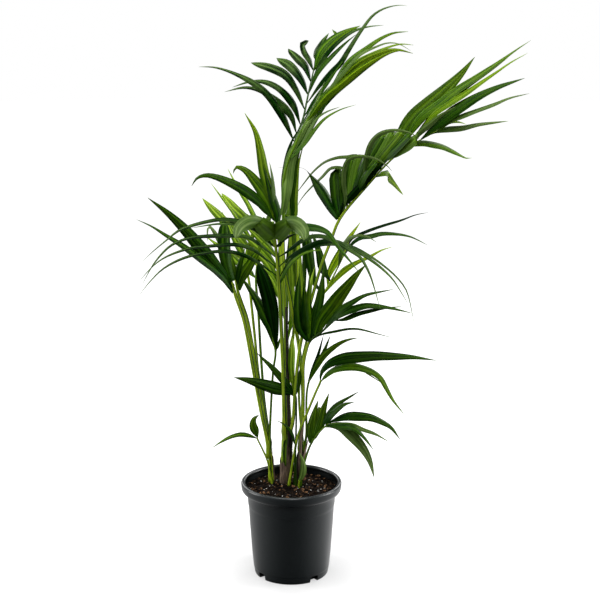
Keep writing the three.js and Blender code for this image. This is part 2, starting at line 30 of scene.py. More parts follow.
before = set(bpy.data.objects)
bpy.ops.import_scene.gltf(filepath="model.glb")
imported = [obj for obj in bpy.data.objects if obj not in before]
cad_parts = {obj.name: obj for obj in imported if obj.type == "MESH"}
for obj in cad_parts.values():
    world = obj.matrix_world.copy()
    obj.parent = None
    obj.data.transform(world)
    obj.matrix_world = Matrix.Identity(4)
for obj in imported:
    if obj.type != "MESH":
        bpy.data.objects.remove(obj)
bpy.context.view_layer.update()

MM = 0.001
SEED = 20
scene = bpy.context.scene


# ---- Camera ------------------------------------------------------------------------------------------

EYE = Vector((18, -3000, 1332))  # where the camera stands, in millimetres
TILT_DOWN = math.radians(13.9)


def set_camera():
    camera = bpy.data.objects.new("camera", bpy.data.cameras.new("camera"))
    camera.location = EYE * MM
    camera.rotation_euler = (math.pi / 2 - TILT_DOWN, 0, 0)
    camera.data.sensor_width = 36
    camera.data.lens = 91.44
    scene.collection.objects.link(camera)
    scene.camera = camera


set_camera()


# ---- The front elevation -----------------------------------------------------------------------------
# Stalks and leaflets are drafted on a front elevation: (x, z) is read on the upright plane through the
# pot's axis as it is sighted from EYE, and a depth is the real distance behind that plane.

def place(x, z, depth):
    return EYE.lerp(Vector((x, 0, z)), 1 - depth / EYE.y)


def sight(point):
    on_plane = EYE.lerp(point, 1 / (1 - point.y / EYE.y))
    return on_plane.x, on_plane.z, point.y


def towards_eye(point):
    return (EYE - point).normalized()


# ---- Stems and fronds --------------------------------------------------------------------------------

# A stem stands on the soil at foot and carries its stalks in a ring round its top. foot and top are
# (x, depth), radius is (foot, top), and turn is the bearing of the first stalk in degrees.
STEMS = {
    "left_stem": dict(foot=(-42, 41), top=(-47, 40), height=270, radius=(6, 4.2), ring=2.6, turn=215,
                      carries=("left", "dark_inner", "back_left", "left_back", "left_inner")),
    "centre_stem": dict(foot=(-12, 36), top=(-9, 34), height=296, radius=(11, 11.4), ring=7.9, turn=235,
                        carries=("front", "upper_right", "top", "back_centre", "upper_left")),
    "right_stem": dict(foot=(13, 28), top=(22, 27), height=262, radius=(7.5, 8.6), ring=5, turn=330,
                       carries=("small_right", "right_back", "young", "right")),
}

# A frond's stalk runs through its points and on along its rib. radius is (foot, first leaflet, end), and
# breadth the real width of its leaflets, which turn away where they look narrower. foot is where a stalk
# that springs from the soil stands, shade the side of a stalk painted dark as shade (right if not given),
# rib_finish the rib's own finish (stalk_shaded paints it with shade), and a joined frond has both its rows
# in one node. The stalk finishes carry painted light and shade.
# A leaflet is (station on the rib, width it shows, finish, way points ..., tip with its depth). The finish
# names the colour of the side that shows, then how the blade is cut, if not plainly:
#   tail     it draws in early and runs out long and thin
#   blunt    it keeps its width and closes near its tip
#   fan      it opens slowly from its foot to a square end
#   stub     it has its full width at its foot and narrows little
#   wide     it has a broad foot
#   pleated  it has three folds
#   flat     it doesn't turn away, and is as wide as it looks
FRONDS = {
    "top": dict(
        radius=(3.4, 2.6, 1.1), breadth=26, finish="stalk_lit", shade="left", rib_finish="stalk_shaded",
        stalk=[(-5, 400, 42), (1, 480, 38), (8, 560, 38), (13, 660, 38), (9, 760, 38), (5, 805, 38),
               (12, 870, 39)],
        rib=[(8, 912, 40), (23, 953, 64), (33, 1000, 98), (43, 1045, 134), (52, 1085, 166)],
        left=[
            (0.0, 16, "tipped", (-20, 970), (-50, 1010), (-80, 1032), (-120, 1050), (-150, 1058),
             (-180, 1059, 20)),
            (0.08, 15, "tipped", (0, 965), (-30, 995), (-60, 1013), (-90, 1019), (-130, 1010, 50)),
            (0.18, 15, "tipped", (5, 985), (-20, 1015), (-50, 1030), (-80, 1030), (-115, 1019, 90)),
            (0.35, 17, "tipped blunt", (10, 1015), (-10, 1043), (-40, 1058), (-78, 1067, 130)),
            (0.52, 18, "tipped blunt", (19, 1036), (-5, 1064), (-28, 1076, 160)),
            (0.67, 17, "tipped blunt", (28, 1059), (11, 1079), (-5, 1094, 190)),
            (0.8, 14, "tipped blunt", (34, 1075), (26, 1091), (24, 1100), (35, 1109, 215)),
        ],
        right=[
            (0.92, 16, "tipped", (50, 1080), (60, 1106), (74, 1124, 230)),
            (0.97, 6, "mid blunt", (72, 1106), (88, 1119), (80, 1131, 225)),
            (0.8, 23, "mid", (63, 1090), (85, 1112), (109, 1127), (135, 1138, 190)),
            (0.66, 8, "tipped", (60, 1070), (85, 1100), (118, 1126), (150, 1136), (180, 1139, 165)),
            (0.54, 9, "deep", (50, 1045), (76, 1076), (104, 1103), (128, 1122, 150)),
            (0.42, 10, "tipped", (57, 1024), (80, 1050), (96, 1066), (112, 1091), (140, 1133),
             (160, 1158), (182, 1171), (210, 1177), (226, 1176, 110)),
            (0.28, 8, "deep", (47, 994), (70, 1027), (93, 1058), (104, 1074, 90)),
            (0.14, 7, "deep", (30, 958), (52, 992), (76, 1022, 70)),
        ]),
    "young": dict(
        radius=(4, 3.6, 0.9), breadth=16, finish="stalk_lit", rib_finish="stalk_green",
        stalk=[(22, 340, 30), (24, 390, 28), (15, 498, 26), (6, 545, 22), (-5, 610, 20), (-13, 650, 18),
               (-16, 700, 18)],
        rib=[(-15, 765, 16), (-16, 820, 14), (-8, 866, 12), (14, 918, 12), (36, 962, 16), (58, 1002, 22)],
        left=[
            (0.0, 23, "pale wide", (-10, 800, 8), (-5, 846), (1, 880), (16, 912), (30, 942), (46, 966),
             (62, 995, 12)),
            (0.1, 10, "shade", (-14, 845), (-8, 885), (4, 918), (20, 942, 30)),
        ],
        right=[
            (0.0, 11, "deep flat", (0, 756), (3, 807), (7, 841), (11, 870), (22, 912, 16)),
            (0.0, 8, "bright flat", (8, 760), (10, 796), (13, 846), (16, 872), (26, 910, 18)),
            (0.97, 13, "mid", (83, 1020, 66), (112, 1066), (148, 1095), (174, 1113), (199, 1124),
             (228, 1127, 110)),
            (0.92, 6, "grey", (100, 1045, 12), (135, 1082), (167, 1098), (190, 1105), (210, 1103),
             (234, 1090, 0)),
            (0.88, 10, "olive", (93, 1033, 46), (122, 1064), (161, 1085), (193, 1098), (215, 1103),
             (239, 1101, 76)),
            (0.82, 18, "olive", (74, 1005, 22), (100, 1032), (135, 1066), (170, 1084), (205, 1092),
             (238, 1085, 30)),
            (0.76, 16, "olive", (70, 1000, 2), (95, 1020), (130, 1050), (165, 1072), (196, 1087),
             (220, 1091, -25)),
            (0.7, 11, "deep", (64, 985, 44), (86, 1008), (118, 1034), (150, 1058), (185, 1081, 84)),
            (0.3, 12, "grey", (20, 930), (34, 958), (50, 990), (66, 1030, 60)),
            (0.42, 12, "mid", (30, 925), (44, 955), (60, 985), (78, 1012, 30)),
            (0.5, 9, "deep", (36, 935), (52, 962), (72, 990), (90, 1014, 20)),
            (0.5, 6, "grey", (20, 905), (38, 938), (51, 958), (70, 971), (97, 981, 0)),
            (0.45, 7, "mid", (14, 893), (28, 910), (48, 938), (67, 958), (97, 975), (128, 985, -35)),
        ]),
    "upper_right": dict(
        radius=(3.7, 3, 1), breadth=30, finish="stalk_lit",
        stalk=[(3, 327, 8), (8, 399, 0), (17, 484, 2), (26, 530, 14), (46, 608, 34), (62, 664, 26),
               (80, 712, 14)],
        rib=[(97, 756, 4), (151, 823, -4), (210, 886, -8), (290, 935, -14)],
        left=[
            (0.0, 22, "deep wide tail", (84, 774), (74, 792), (60, 816), (42, 841), (28, 857), (10, 862),
             (-8, 862), (-25, 860, 70)),
            (0.02, 31, "deep wide blunt", (94, 792), (92, 822), (91, 845), (99, 860, 50)),
            (0.12, 6, "grey", (106, 820), (108, 856), (81, 860), (61, 841), (35, 815), (20, 796),
             (11, 779, 90)),
            (0.22, 6, "grey", (132, 850), (132, 883), (110, 882), (94, 881), (68, 872), (44, 852),
             (28, 832), (7, 803, 110)),
            # This dark flat strip beside the rib is painted shade, filling the shaded gap between the fans
            # and the rib.
            (0.02, 15, "shade flat", (104, 782), (120, 802), (137, 821), (156, 841), (178, 864),
             (206, 890, -30)),
            (0.07, 20, "deep fan", (110, 800), (111, 840), (120, 880, 40)),
            (0.1, 21, "smooth fan", (116, 805), (124, 845), (134, 883, 20)),
            (0.13, 21, "deep fan", (124, 810), (138, 848), (150, 882, 0)),
            (0.17, 20, "deep fan", (134, 818), (150, 850), (166, 878, -20)),
            (0.22, 13, "deep fan", (139, 830), (155, 854), (174, 874, -40)),
            (0.28, 9, "shade", (153, 841), (170, 858), (188, 868, -50)),
            (0.05, 10, "grey flat", (109, 795), (105, 830), (106, 858), (115, 877), (133, 883),
             (157, 881), (175, 875), (193, 862), (200, 854, -60)),
            (0.2, 23, "deep fan", (130, 820), (142, 855), (158, 888), (181, 924, -30)),
            (0.26, 23, "smooth fan", (138, 832), (158, 864), (177, 892), (200, 931, -50)),
            (0.33, 23, "mid fan", (154, 852), (180, 886), (220, 932, -70)),
            (0.4, 21, "deep fan", (170, 869), (198, 892), (237, 928, -90)),
            (0.48, 18, "smooth fan", (188, 882), (214, 895), (250, 919, -100)),
            (0.3, 16, "mid flat", (154, 876), (165, 904), (180, 919), (198, 926), (219, 926), (237, 920),
             (250, 912, -14)),
            (0.3, 11, "grey flat", (150, 880), (160, 911), (177, 928), (197, 934), (219, 934), (239, 928),
             (253, 918, -110)),
            (0.6, 36, "mid pleated", (216, 917), (243, 957), (274, 987), (305, 1016), (333, 1045),
             (359, 1078, 50)),
            (0.7, 18, "mid", (250, 955), (290, 987), (330, 1018), (360, 1037), (400, 1064), (440, 1092),
             (467, 1110, 20)),
            (0.74, 9, "olive", (300, 988), (340, 1016), (380, 1043), (425, 1077, 24)),
            (0.8, 11, "olive", (280, 965), (310, 987), (340, 1006), (370, 1026), (400, 1046), (430, 1067),
             (463, 1086, -20)),
            (0.78, 12, "grey flat", (252, 927), (273, 945), (297, 965), (324, 981, -56)),
            (0.86, 20, "deep", (306, 962), (346, 989), (376, 1006), (407, 1020), (430, 1028),
             (458, 1037, -50)),
            (1.0, 8, "grey", (310, 951), (340, 964), (370, 975), (400, 986), (430, 998), (468, 1007, -70)),
        ],
        right=[
            (0.42, 10, "olive", (190, 848), (198, 838), (210, 823), (224, 805, 60)),
            (0.74, 13, "mid", (235, 903), (260, 909), (280, 907), (300, 902), (320, 893), (335, 885),
             (348, 879), (360, 880, 90)),
            (0.9, 10, "grey", (280, 930), (310, 937), (340, 940), (370, 946), (430, 953, 60)),
            (0.97, 6, "bright", (310, 949), (330, 951), (347, 946, 20)),
        ]),
    "front": dict(
        radius=(4, 3.8, 2.3), breadth=28, finish="stalk_lit",
        stalk=[(-15, 340, 8), (-16, 420, -2), (-19, 500, -14), (-22, 575, -32)],
        rib=[(-24, 610, -44), (-28, 670, -82), (-34, 730, -132), (-36, 750, -156)],
        left=[
            (0.19, 6.5, "tipped", (-50, 656), (-75, 673), (-95, 683), (-120, 690), (-140, 691),
             (-170, 688), (-200, 682), (-230, 671), (-260, 653), (-285, 628), (-310, 597, -110)),
            (0.31, 6.5, "tipped", (-50, 674), (-75, 694), (-100, 703), (-120, 705), (-145, 703),
             (-170, 701), (-200, 698), (-250, 680), (-275, 663), (-308, 628, -140)),
            (0.45, 7, "tipped", (-50, 694), (-75, 714), (-95, 722), (-130, 723), (-170, 722), (-200, 719),
             (-225, 711), (-245, 700), (-265, 680), (-280, 660), (-302, 620, -185)),
            (0.6, 7, "tipped", (-50, 718), (-75, 737), (-95, 744), (-120, 747), (-150, 746),
             (-200, 738, -205)),
            (0.72, 7.5, "tipped", (-50, 730), (-80, 746), (-110, 754), (-140, 756), (-170, 751),
             (-200, 743), (-225, 733), (-250, 713), (-280, 688), (-299, 670, -235)),
            (0.78, 38, "smooth stub", (-46, 733), (-64, 750, -225)),
            (0.95, 26, "grey blunt", (-50, 738), (-64, 751), (-84, 751), (-101, 739), (-111, 716, -255)),
        ],
        right=[
            (0.08, 8, "mid", (-8, 658), (5, 672), (30, 688), (62, 694, -50)),
            (0.17, 6, "tipped", (-10, 662), (3, 678), (23, 691), (50, 702), (80, 706), (120, 701),
             (160, 680), (190, 658), (215, 635), (233, 610), (244, 570), (252, 530, -110)),
            (0.31, 8, "tipped", (-10, 673), (10, 688), (36, 702), (60, 711), (90, 711), (120, 698),
             (150, 680), (180, 658), (205, 633), (220, 610), (239, 578, -160)),
            (0.45, 8, "tipped", (-15, 685), (3, 699), (23, 714), (40, 721), (60, 722), (80, 716),
             (120, 692), (140, 678), (150, 662), (160, 640), (168, 615), (181, 570, -190)),
            (0.6, 7, "shade", (-15, 715), (-4, 721), (12, 727, -150)),
            (0.72, 14, "deep", (-8, 735), (12, 741), (40, 740), (60, 736), (75, 728), (95, 700),
             (115, 675), (140, 643, -230)),
            (0.78, 36, "smooth stub", (-21, 733), (-5, 747, -225)),
            (0.95, 28, "grey blunt", (-18, 745), (0, 750), (14, 744), (24, 730), (26, 713, -250)),
        ]),
    "left": dict(
        radius=(3.8, 3.6, 1.8), breadth=28, finish="stalk_lit",
        stalk=[(-60, 340, 30), (-75.5, 429, 24), (-85.5, 490, 14), (-97, 551, 2)],
        rib=[(-113, 600, -12), (-116, 614, -18), (-120, 628, -24)],
        left=[
            (0.25, 13, "deep wide", (-140, 640), (-180, 674), (-220, 704), (-250, 723), (-280, 742),
             (-310, 756, -100)),
            (0.6, 28, "deep wide", (-147, 652), (-180, 695), (-213, 735), (-245, 767), (-286, 800, -70)),
            (1.0, 13, "grey", (-134, 690, 20), (-144, 714, 20), (-154, 731, 18), (-165, 742, 12),
             (-168, 727, 8), (-167, 710, 6)),
        ],
        right=[(1.0, 26, "deep wide blunt", (-128, 655), (-133, 685, -14), (-134, 722), (-133, 757, 0))]),
    "left_inner": dict(
        radius=(3.8, 3.6, 1.6), breadth=20, finish="stalk_lit",
        stalk=[(-55, 340, 44), (-69, 429, 42), (-79, 490, 36), (-90, 551, 26)],
        rib=[(-106, 600, 16), (-110, 618, 12), (-113, 632, 8)],
        left=[(1.0, 20, "mid", (-118, 645), (-122, 665), (-128, 700, 0))],
        right=[
            (0.3, 21, "mid wide", (-100, 635), (-84, 662), (-68, 688), (-54, 712, 20)),
            (0.7, 14, "deep wide", (-110, 640), (-102, 668), (-92, 700, 6)),
        ]),
    "left_back": dict(
        radius=(2.9, 2.8, 1.4), breadth=20, finish="stalk_lit",
        stalk=[(-53, 330, 58), (-61, 390, 66), (-68, 440, 68), (-74, 510, 66), (-81, 585, 62)],
        rib=[(-85, 628, 62), (-88, 645, 66), (-92, 662, 72)],
        left=[
            (0.4, 14, "bright", (-105, 665), (-130, 690), (-172, 722, 120)),
            (0.9, 14, "bright", (-100, 690), (-112, 715), (-138, 772, 130)),
        ],
        right=[(0.9, 16, "bright", (-86, 682), (-82, 704, 100), (-76, 740, 140))]),
    "back_left": dict(
        radius=(2.9, 2.7, 1.3), breadth=22, finish="stalk_green",
        stalk=[(-50, 330, 50), (-56, 380, 55), (-60, 440, 60), (-63, 490, 68), (-67, 572, 78)],
        rib=[(-71, 630, 90), (-66, 680, 108), (-56, 740, 134)],
        left=[
            (0.05, 16, "bright", (-85, 650), (-100, 672), (-135, 700, 170)),
            (0.3, 19, "bright blunt", (-85, 695), (-110, 728), (-145, 765), (-177, 799, 200)),
            (0.5, 8, "bright", (-85, 722), (-110, 762), (-140, 803), (-160, 830, 220)),
            (0.7, 19, "bright blunt", (-75, 728), (-92, 758), (-115, 781), (-138, 809, 240)),
            (0.9, 10, "bright", (-70, 755), (-84, 785), (-105, 820), (-126, 859, 250)),
        ],
        right=[
            (0.3, 14, "mid", (-56, 690), (-48, 706), (-30, 745, 160)),
            (0.7, 14, "mid", (-54, 728), (-48, 750), (-36, 790, 190)),
        ]),
    "upper_left": dict(
        radius=(3.6, 3.4, 1.4), breadth=24, finish="stalk_lit",
        stalk=[(-14, 400, 48), (-12, 500, 54), (-13, 600, 60), (-20, 685, 64)],
        rib=[(-28, 738, 68), (-30, 757, 72), (-34, 781, 78)],
        left=[
            (0.3, 21, "deep", (-60, 788), (-90, 813), (-120, 830), (-150, 842), (-170, 845), (-187, 839),
             (-198, 823, 110)),
            (0.4, 5, "bright", (-56, 775), (-70, 788), (-90, 803, 100)),
            (0.4, 26, "mid wide", (-48, 800), (-70, 832), (-92, 856), (-109, 861), (-115, 848, 130)),
            (0.5, 22, "olive wide", (-39, 800), (-53, 850), (-60, 892), (-70, 932), (-91, 969, 150)),
        ],
        right=[(0.9, 7, "grey", (-33, 795), (-34, 815), (-37, 842), (-43, 873, 110)),
               (0.2, 18, "deep wide", (-26, 765), (-36, 800), (-46, 832), (-53, 860, 104))]),
    "back_centre": dict(
        radius=(3.6, 3.2, 1.2), breadth=22, finish="stalk_lit",
        stalk=[(-11, 400, 56), (-8, 450, 60)],
        rib=[(-8, 500, 66), (-14, 580, 84), (-25, 640, 98), (-24, 700, 114), (-20, 750, 130)],
        left=[
            (0.3, 14, "bright", (-28, 612), (-38, 632), (-54, 652), (-82, 670, 70)),
            (0.42, 18, "bright", (-34, 638), (-47, 665), (-75, 692), (-110, 709, 76)),
            (0.6, 18, "bright", (-35, 665), (-61, 695), (-90, 720), (-115, 739, 88)),
            (0.7, 16, "bright", (-34, 685), (-47, 700), (-69, 722), (-95, 747, 110)),
            (0.82, 16, "bright", (-30, 700), (-42, 716), (-64, 742), (-89, 768, 120)),
        ],
        right=[
            (0.02, 14, "bright flat", (1, 560), (1, 600), (-1, 652), (-1, 690), (-2, 727), (-1, 765, 110)),
            (0.05, 19, "bright flat", (12, 580), (17, 610), (15, 652), (14, 690), (13, 727),
             (10, 775, 130)),
            (0.3, 30, "mid flat", (0, 640), (4, 690), (4, 740), (0, 790, 160)),
            (0.14, 13, "deep", (20, 600), (25, 640), (25, 690), (18, 750, 160)),
            (0.1, 19, "bright flat", (-13, 570), (-16, 620), (-20, 665), (-21, 700), (-22, 742, 100)),
            (0.6, 18, "bright", (-6, 665), (8, 695), (26, 728, 170)),
            (0.86, 14, "mid", (-14, 745), (-8, 766), (-2, 800, 190)),
        ]),
    "right_back": dict(
        radius=(2.8, 2.2, 1.2), breadth=22, finish="stalk_lit",
        stalk=[(16, 400, 46), (28, 490, 60), (48, 555, 70)],
        rib=[(65, 600, 80), (82, 632, 90), (98, 665, 100), (112, 695, 112)],
        left=[
            (0.05, 20, "deep blunt", (49, 621), (41, 655), (36, 688), (30, 737, 110)),
            (0.3, 19, "deep flat", (64, 655), (56, 690), (42, 728, 140)),
            (0.2, 17, "lime flat", (76, 640), (93, 676), (115, 715), (139, 750, 160)),
        ],
        right=[
            (0.05, 12, "lime", (85, 628), (105, 650), (130, 667), (155, 678), (180, 692), (205, 700, 110)),
            (0.6, 8, "grey", (104, 700), (120, 719, 84), (150, 722), (172, 709, 60)),
            (0.85, 9, "deep", (122, 706), (140, 719), (160, 722), (180, 727), (210, 726), (240, 720),
             (275, 703, 160)),
            (0.98, 6, "shade", (122, 716), (150, 731), (190, 745), (220, 754), (250, 765), (275, 770, 210)),
        ]),
    "right": dict(
        radius=(3.4, 3, 1.3), breadth=30, finish="stalk_lit", rib_finish="stalk_shaded",
        stalk=[(24, 340, 14), (25, 400, 6), (25, 450, -6), (30, 480, -14)],
        rib=[(38, 503, -20), (60, 521, -32), (90, 548, -52)],
        left=[
            (0.0, 21, "deep wide", (20, 530), (15, 570), (15, 610), (17, 646, 10)),
            (0.0, 18, "bright wide", (30, 545), (32, 585), (38, 620), (48, 660, 60)),
            (0.04, 18, "deep wide", (33, 545), (29, 584), (26, 634, 20)),
            (0.06, 14, "mid wide", (39, 550), (36, 592), (37, 648, 24)),
            (0.1, 22, "deep wide", (46, 545), (57, 590), (62, 623), (67, 666, 20)),
            (0.25, 31, "mid pleated wide", (61, 545), (81, 573), (100, 600), (117, 622), (132, 642),
             (152, 664, -30)),
            (0.55, 12, "deep", (80, 546), (100, 570), (125, 586), (150, 599), (180, 606), (209, 612, -70)),
            (0.75, 12, "deep", (88, 550), (110, 565), (130, 573), (150, 578), (170, 578), (200, 573),
             (246, 562, -100)),
            (0.95, 9, "deep", (105, 549), (130, 559), (160, 567), (190, 572), (227, 576, -85)),
        ],
        right=[(0.1, 5, "deep", (60, 517), (90, 524), (120, 529), (140, 528), (180, 517),
                (214, 508, -50))]),
    "low_right": dict(
        radius=(2.6, 2.2, 1.3), breadth=22, foot=(19, 14), finish="stalk_green",
        stalk=[(24, 225, 11), (31, 255, 6)],
        rib=[(40, 280, 1), (52, 300, -6), (65, 315, -14), (78, 327, -24)],
        left=[
            (0.05, 20, "mid wide", (40, 300), (44, 330), (50, 358), (56, 378, 0)),
            (0.12, 17, "mid fan", (48, 305), (55, 335), (61, 360, -3)),
            (0.25, 20, "mid wide", (56, 322), (64, 350), (71, 372), (78, 393, -10)),
            (0.7, 10, "deep", (72, 340), (86, 360), (100, 372), (120, 384), (140, 396, -10)),
            (0.85, 13, "deep", (78, 340), (90, 353), (110, 368), (132, 373, -40)),
            (1.0, 19, "deep", (90, 334), (115, 342), (140, 342), (165, 339), (190, 328), (207, 317),
             (226, 291, -80)),
        ],
        right=[
            (0.8, 24, "grey", (85, 322), (105, 318), (130, 295), (150, 270), (163, 245), (173, 207, -120)),
            (0.9, 12, "deep", (100, 322), (130, 316), (150, 297), (172, 267, -140)),
            (1.0, 10, "grey", (100, 326), (130, 321), (150, 313), (175, 303), (203, 286, -110)),
        ]),
    "dark_inner": dict(
        radius=(2.6, 2.3, 1.6), breadth=30, finish="stalk_green",
        stalk=[(-44, 320, 36), (-41, 380, 30), (-37, 440, 24)],
        rib=[(-32, 480, 18), (-36, 500, 18), (-42, 525, 18)],
        left=[(0.3, 23, "deep", (-41, 532), (-52, 556), (-68, 588), (-83, 612), (-103, 640, 34))],
        right=[
            (0.1, 5, "deep", (-28, 492), (-25, 502), (-22, 512, 22)),
            (0.02, 31, "shade blunt", (-33, 515), (-37, 548), (-42, 580), (-52, 620), (-67, 668, 14)),
        ]),
    "two_leaf": dict(
        radius=(2.9, 2.4, 2.2), breadth=26, foot=(-5, 15), joined=True, finish="stalk_lit",
        stalk=[(0, 222, 12), (6, 260, 8), (14, 300, 2), (31, 345, -6), (50, 393, -14)],
        rib=[(59, 414, -18), (61, 420, -19)],
        left=[(0.9, 24, "deep", (62, 436), (78, 455), (105, 466), (140, 470), (175, 472), (210, 471),
               (250, 469), (298, 462, -50))],
        right=[
            (0.6, 15, "mid", (70, 430), (85, 441), (105, 448), (130, 449), (155, 443), (170, 436),
             (185, 423), (195, 405), (210, 377), (235, 344, -80)),
            (0.8, 6, "bright", (90, 440), (120, 445), (145, 441), (165, 428), (190, 411, -64)),
        ]),
    "small_right": dict(
        radius=(2.6, 2.2, 2), breadth=14, joined=True, finish="stalk_green",
        stalk=[(31, 300, 19), (31, 350, 14), (32, 392, 11)],
        rib=[(35, 412, 9), (38, 422, 8)],
        left=[(0.5, 8, "shade flat", (43, 440), (54, 470), (66, 516, 14)),
              (0.8, 11, "deep flat", (46, 444), (62, 470), (80, 515, 4))],
        right=[(0.8, 14, "mid", (47, 440), (63, 468), (84, 488), (104, 501), (120, 507), (137, 510, -20))]),
    "low_left": dict(
        radius=(2.2, 1.8, 1.8), breadth=18, foot=(-40, 24), joined=True, finish="stalk_lit",
        stalk=[(-50, 245, 24), (-60, 270, 20)],
        rib=[(-70, 292, 16), (-71, 296, 16)],
        left=[(0.6, 10, "mid", (-85, 300), (-105, 303), (-125, 298), (-145, 287), (-166, 272, -20))],
        right=[(0.9, 18, "mid", (-74, 308), (-79, 323), (-77, 336), (-67, 345, 12))]),
    "low_inner": dict(
        radius=(2.2, 1.9, 1.9), breadth=17, foot=(6, 17), joined=True, finish="stalk_shaded",
        stalk=[(8, 250, 17), (10, 320, 15)],
        rib=[(10, 382, 13), (9, 386, 13)],
        left=[(0.5, 27, "deep", (0, 393), (-30, 402, 6), (-60, 411), (-90, 420), (-118, 426, 2)),
              (0.9, 16, "deep", (-8, 410), (-25, 430), (-40, 448), (-55, 463), (-71, 479, 6)),
              (1.0, 14, "bright blunt", (4, 410), (1, 450), (2, 485), (1, 514, 14)),
              (1.0, 9, "deep blunt", (12, 400), (16, 422), (18, 445, 16))],
        right=[]),
    "small_leaf": dict(
        radius=(1.8, 1.5, 1.4), breadth=9, foot=(9, 7), joined=True, finish="stalk_shaded",
        stalk=[(9, 230, 2), (9, 262, -6)],
        rib=[(8, 280, -10), (7, 284, -10)],
        left=[(0.6, 7, "deep", (3, 300), (-8, 318), (-20, 328), (-33, 333, -20))],
        right=[]),
    "scale_leaf": dict(
        radius=(2.2, 2, 2), breadth=14, foot=(16, 5), joined=True, finish="stalk_lit",
        stalk=[(16, 193, 4)],
        rib=[(17, 198, 3), (17, 202, 3)],
        left=[(0.5, 14, "pale wide", (21, 208), (25, 226), (24, 243), (17, 262, 2))],
        right=[]),
}

CLEARANCE = 0.3  # between a stalk and the stem or soil it stands on
SOIL_TOP = 183


# ---- Node materials ----------------------------------------------------------------------------------

LEAF_ROUGHNESS = 0.38
LEAF_SHADOW = (0.14, 0.38, 0.3)  # what a dark streak keeps of a leaf's red, green and blue


class Finish:
    """A material's node tree, with a line for each node it needs."""

    def __init__(self, name, roughness, specular=0.5):
        self.material = bpy.data.materials.new(name)
        self.material.use_nodes = True
        self.tree = self.material.node_tree
        self.surface = self.tree.nodes["Principled BSDF"]
        self.surface.inputs["Roughness"].default_value = roughness
        self.surface.inputs["Specular IOR Level"].default_value = specular
        self.places = self.tree.nodes.new("ShaderNodeTexCoord")

    def link(self, source, target):
        self.tree.links.new(source, target)

    def set(self, node, socket, value):
        if isinstance(value, bpy.types.NodeSocket):
            self.link(value, node.inputs[socket])
        else:
            node.inputs[socket].default_value = value

    def stretched(self, scale, space="Object"):
        node = self.tree.nodes.new("ShaderNodeMapping")
        node.inputs["Scale"].default_value = scale
        self.link(self.places.outputs[space], node.inputs["Vector"])
        return node.outputs["Vector"]

    def grain(self, vector, scale, detail=3, roughness=0.55):
        node = self.tree.nodes.new("ShaderNodeTexNoise")
        self.link(vector, node.inputs["Vector"])
        node.inputs["Scale"].default_value = scale
        node.inputs["Detail"].default_value = detail
        node.inputs["Roughness"].default_value = roughness
        return node.outputs["Fac"]

    def lines(self, vector, scale):
        node = self.tree.nodes.new("ShaderNodeTexWave")
        self.link(vector, node.inputs["Vector"])
        node.inputs["Scale"].default_value = scale
        return node.outputs["Fac"]

    def ramp(self, factor, *stops):
        node = self.tree.nodes.new("ShaderNodeValToRGB")
        self.link(factor, node.inputs["Fac"])
        marks = node.color_ramp.elements
        while len(marks) < len(stops):
            marks.new(0.5)
        for mark, (position, colour) in zip(marks, stops):
            mark.position = position
            mark.color = (*colour, 1)
        return node.outputs["Color"]

    def span(self, value, low, high, from_low=0.0, from_high=1.0):
        node = self.tree.nodes.new("ShaderNodeMapRange")
        self.link(value, node.inputs["Value"])
        node.inputs["From Min"].default_value = from_low
        node.inputs["From Max"].default_value = from_high
        node.inputs["To Min"].default_value = low
        node.inputs["To Max"].default_value = high
        return node.outputs["Result"]

    def mixed(self, factor, first, second):
        node = self.tree.nodes.new("ShaderNodeMix")
        node.data_type = "RGBA"
        self.set(node, 0, factor)
        self.set(node, 6, first)
        self.set(node, 7, second)
        return node.outputs[2]

    def maths(self, operation, first, second):
        node = self.tree.nodes.new("ShaderNodeMath")
        node.operation = operation
        self.set(node, 0, first)
        self.set(node, 1, second)
        return node.outputs[0]

    def relief(self, height, strength, distance):
        node = self.tree.nodes.new("ShaderNodeBump")
        node.inputs["Strength"].default_value = strength
        node.inputs["Distance"].default_value = distance
        self.link(height, node.inputs["Height"])
        self.link(node.outputs["Normal"], self.surface.inputs["Normal"])

    def colour(self, value):
        self.link(value, self.surface.inputs["Base Color"])

    def gloss(self, value):
        self.link(value, self.surface.inputs["Roughness"])


def mixed(low, high, t):
    return low + (high - low) * t


def shaded(colour, factor):
    return tuple(channel * factor for channel in colour)


def leaf_finish(name, colour, tip, specular, pale_from=0.15, streaking=1.0):
    """Leaf skin: dark and light streaks along the blade, fine veins, and a paler end where it bends over,
    which is a painted sheen.
    """
    leaf = Finish(name, LEAF_ROUGHNESS, specular)
    split = leaf.tree.nodes.new("ShaderNodeSeparateXYZ")
    leaf.link(leaf.stretched((1, 1, 1), "UV"), split.inputs["Vector"])
    streaks = leaf.grain(leaf.stretched((10, 0.4, 1), "UV"), 1.0, 2.5)
    mottle = leaf.grain(leaf.stretched((1, 1, 1)), 26, 3)
    run = leaf.span(split.outputs["Y"], 0, 1, pale_from, 0.95)
    light = mixed(1, 1.7, streaking)
    body = leaf.mixed(run, (*shaded(colour, light), 1), (*shaded(tip, light), 1))
    deep = [channel * mixed(1, share, streaking) for channel, share in zip(colour, LEAF_SHADOW)]
    dark = leaf.mixed(run, (*deep, 1), (*shaded(colour, 0.8), 1))
    striped = leaf.mixed(leaf.span(streaks, 0, 1, 0.42, 0.58), dark, body)
    leaf.colour(leaf.mixed(leaf.span(mottle, 0, 0.35, 0.45, 0.7), striped, (*shaded(tip, 1.2), 1)))
    leaf.gloss(leaf.span(mottle, LEAF_ROUGHNESS - 0.07, LEAF_ROUGHNESS + 0.07))
    veins = leaf.lines(leaf.stretched((14, 0, 0), "UV"), 1.0)
    leaf.relief(veins, 0.12, 0.0003)
    return leaf.material


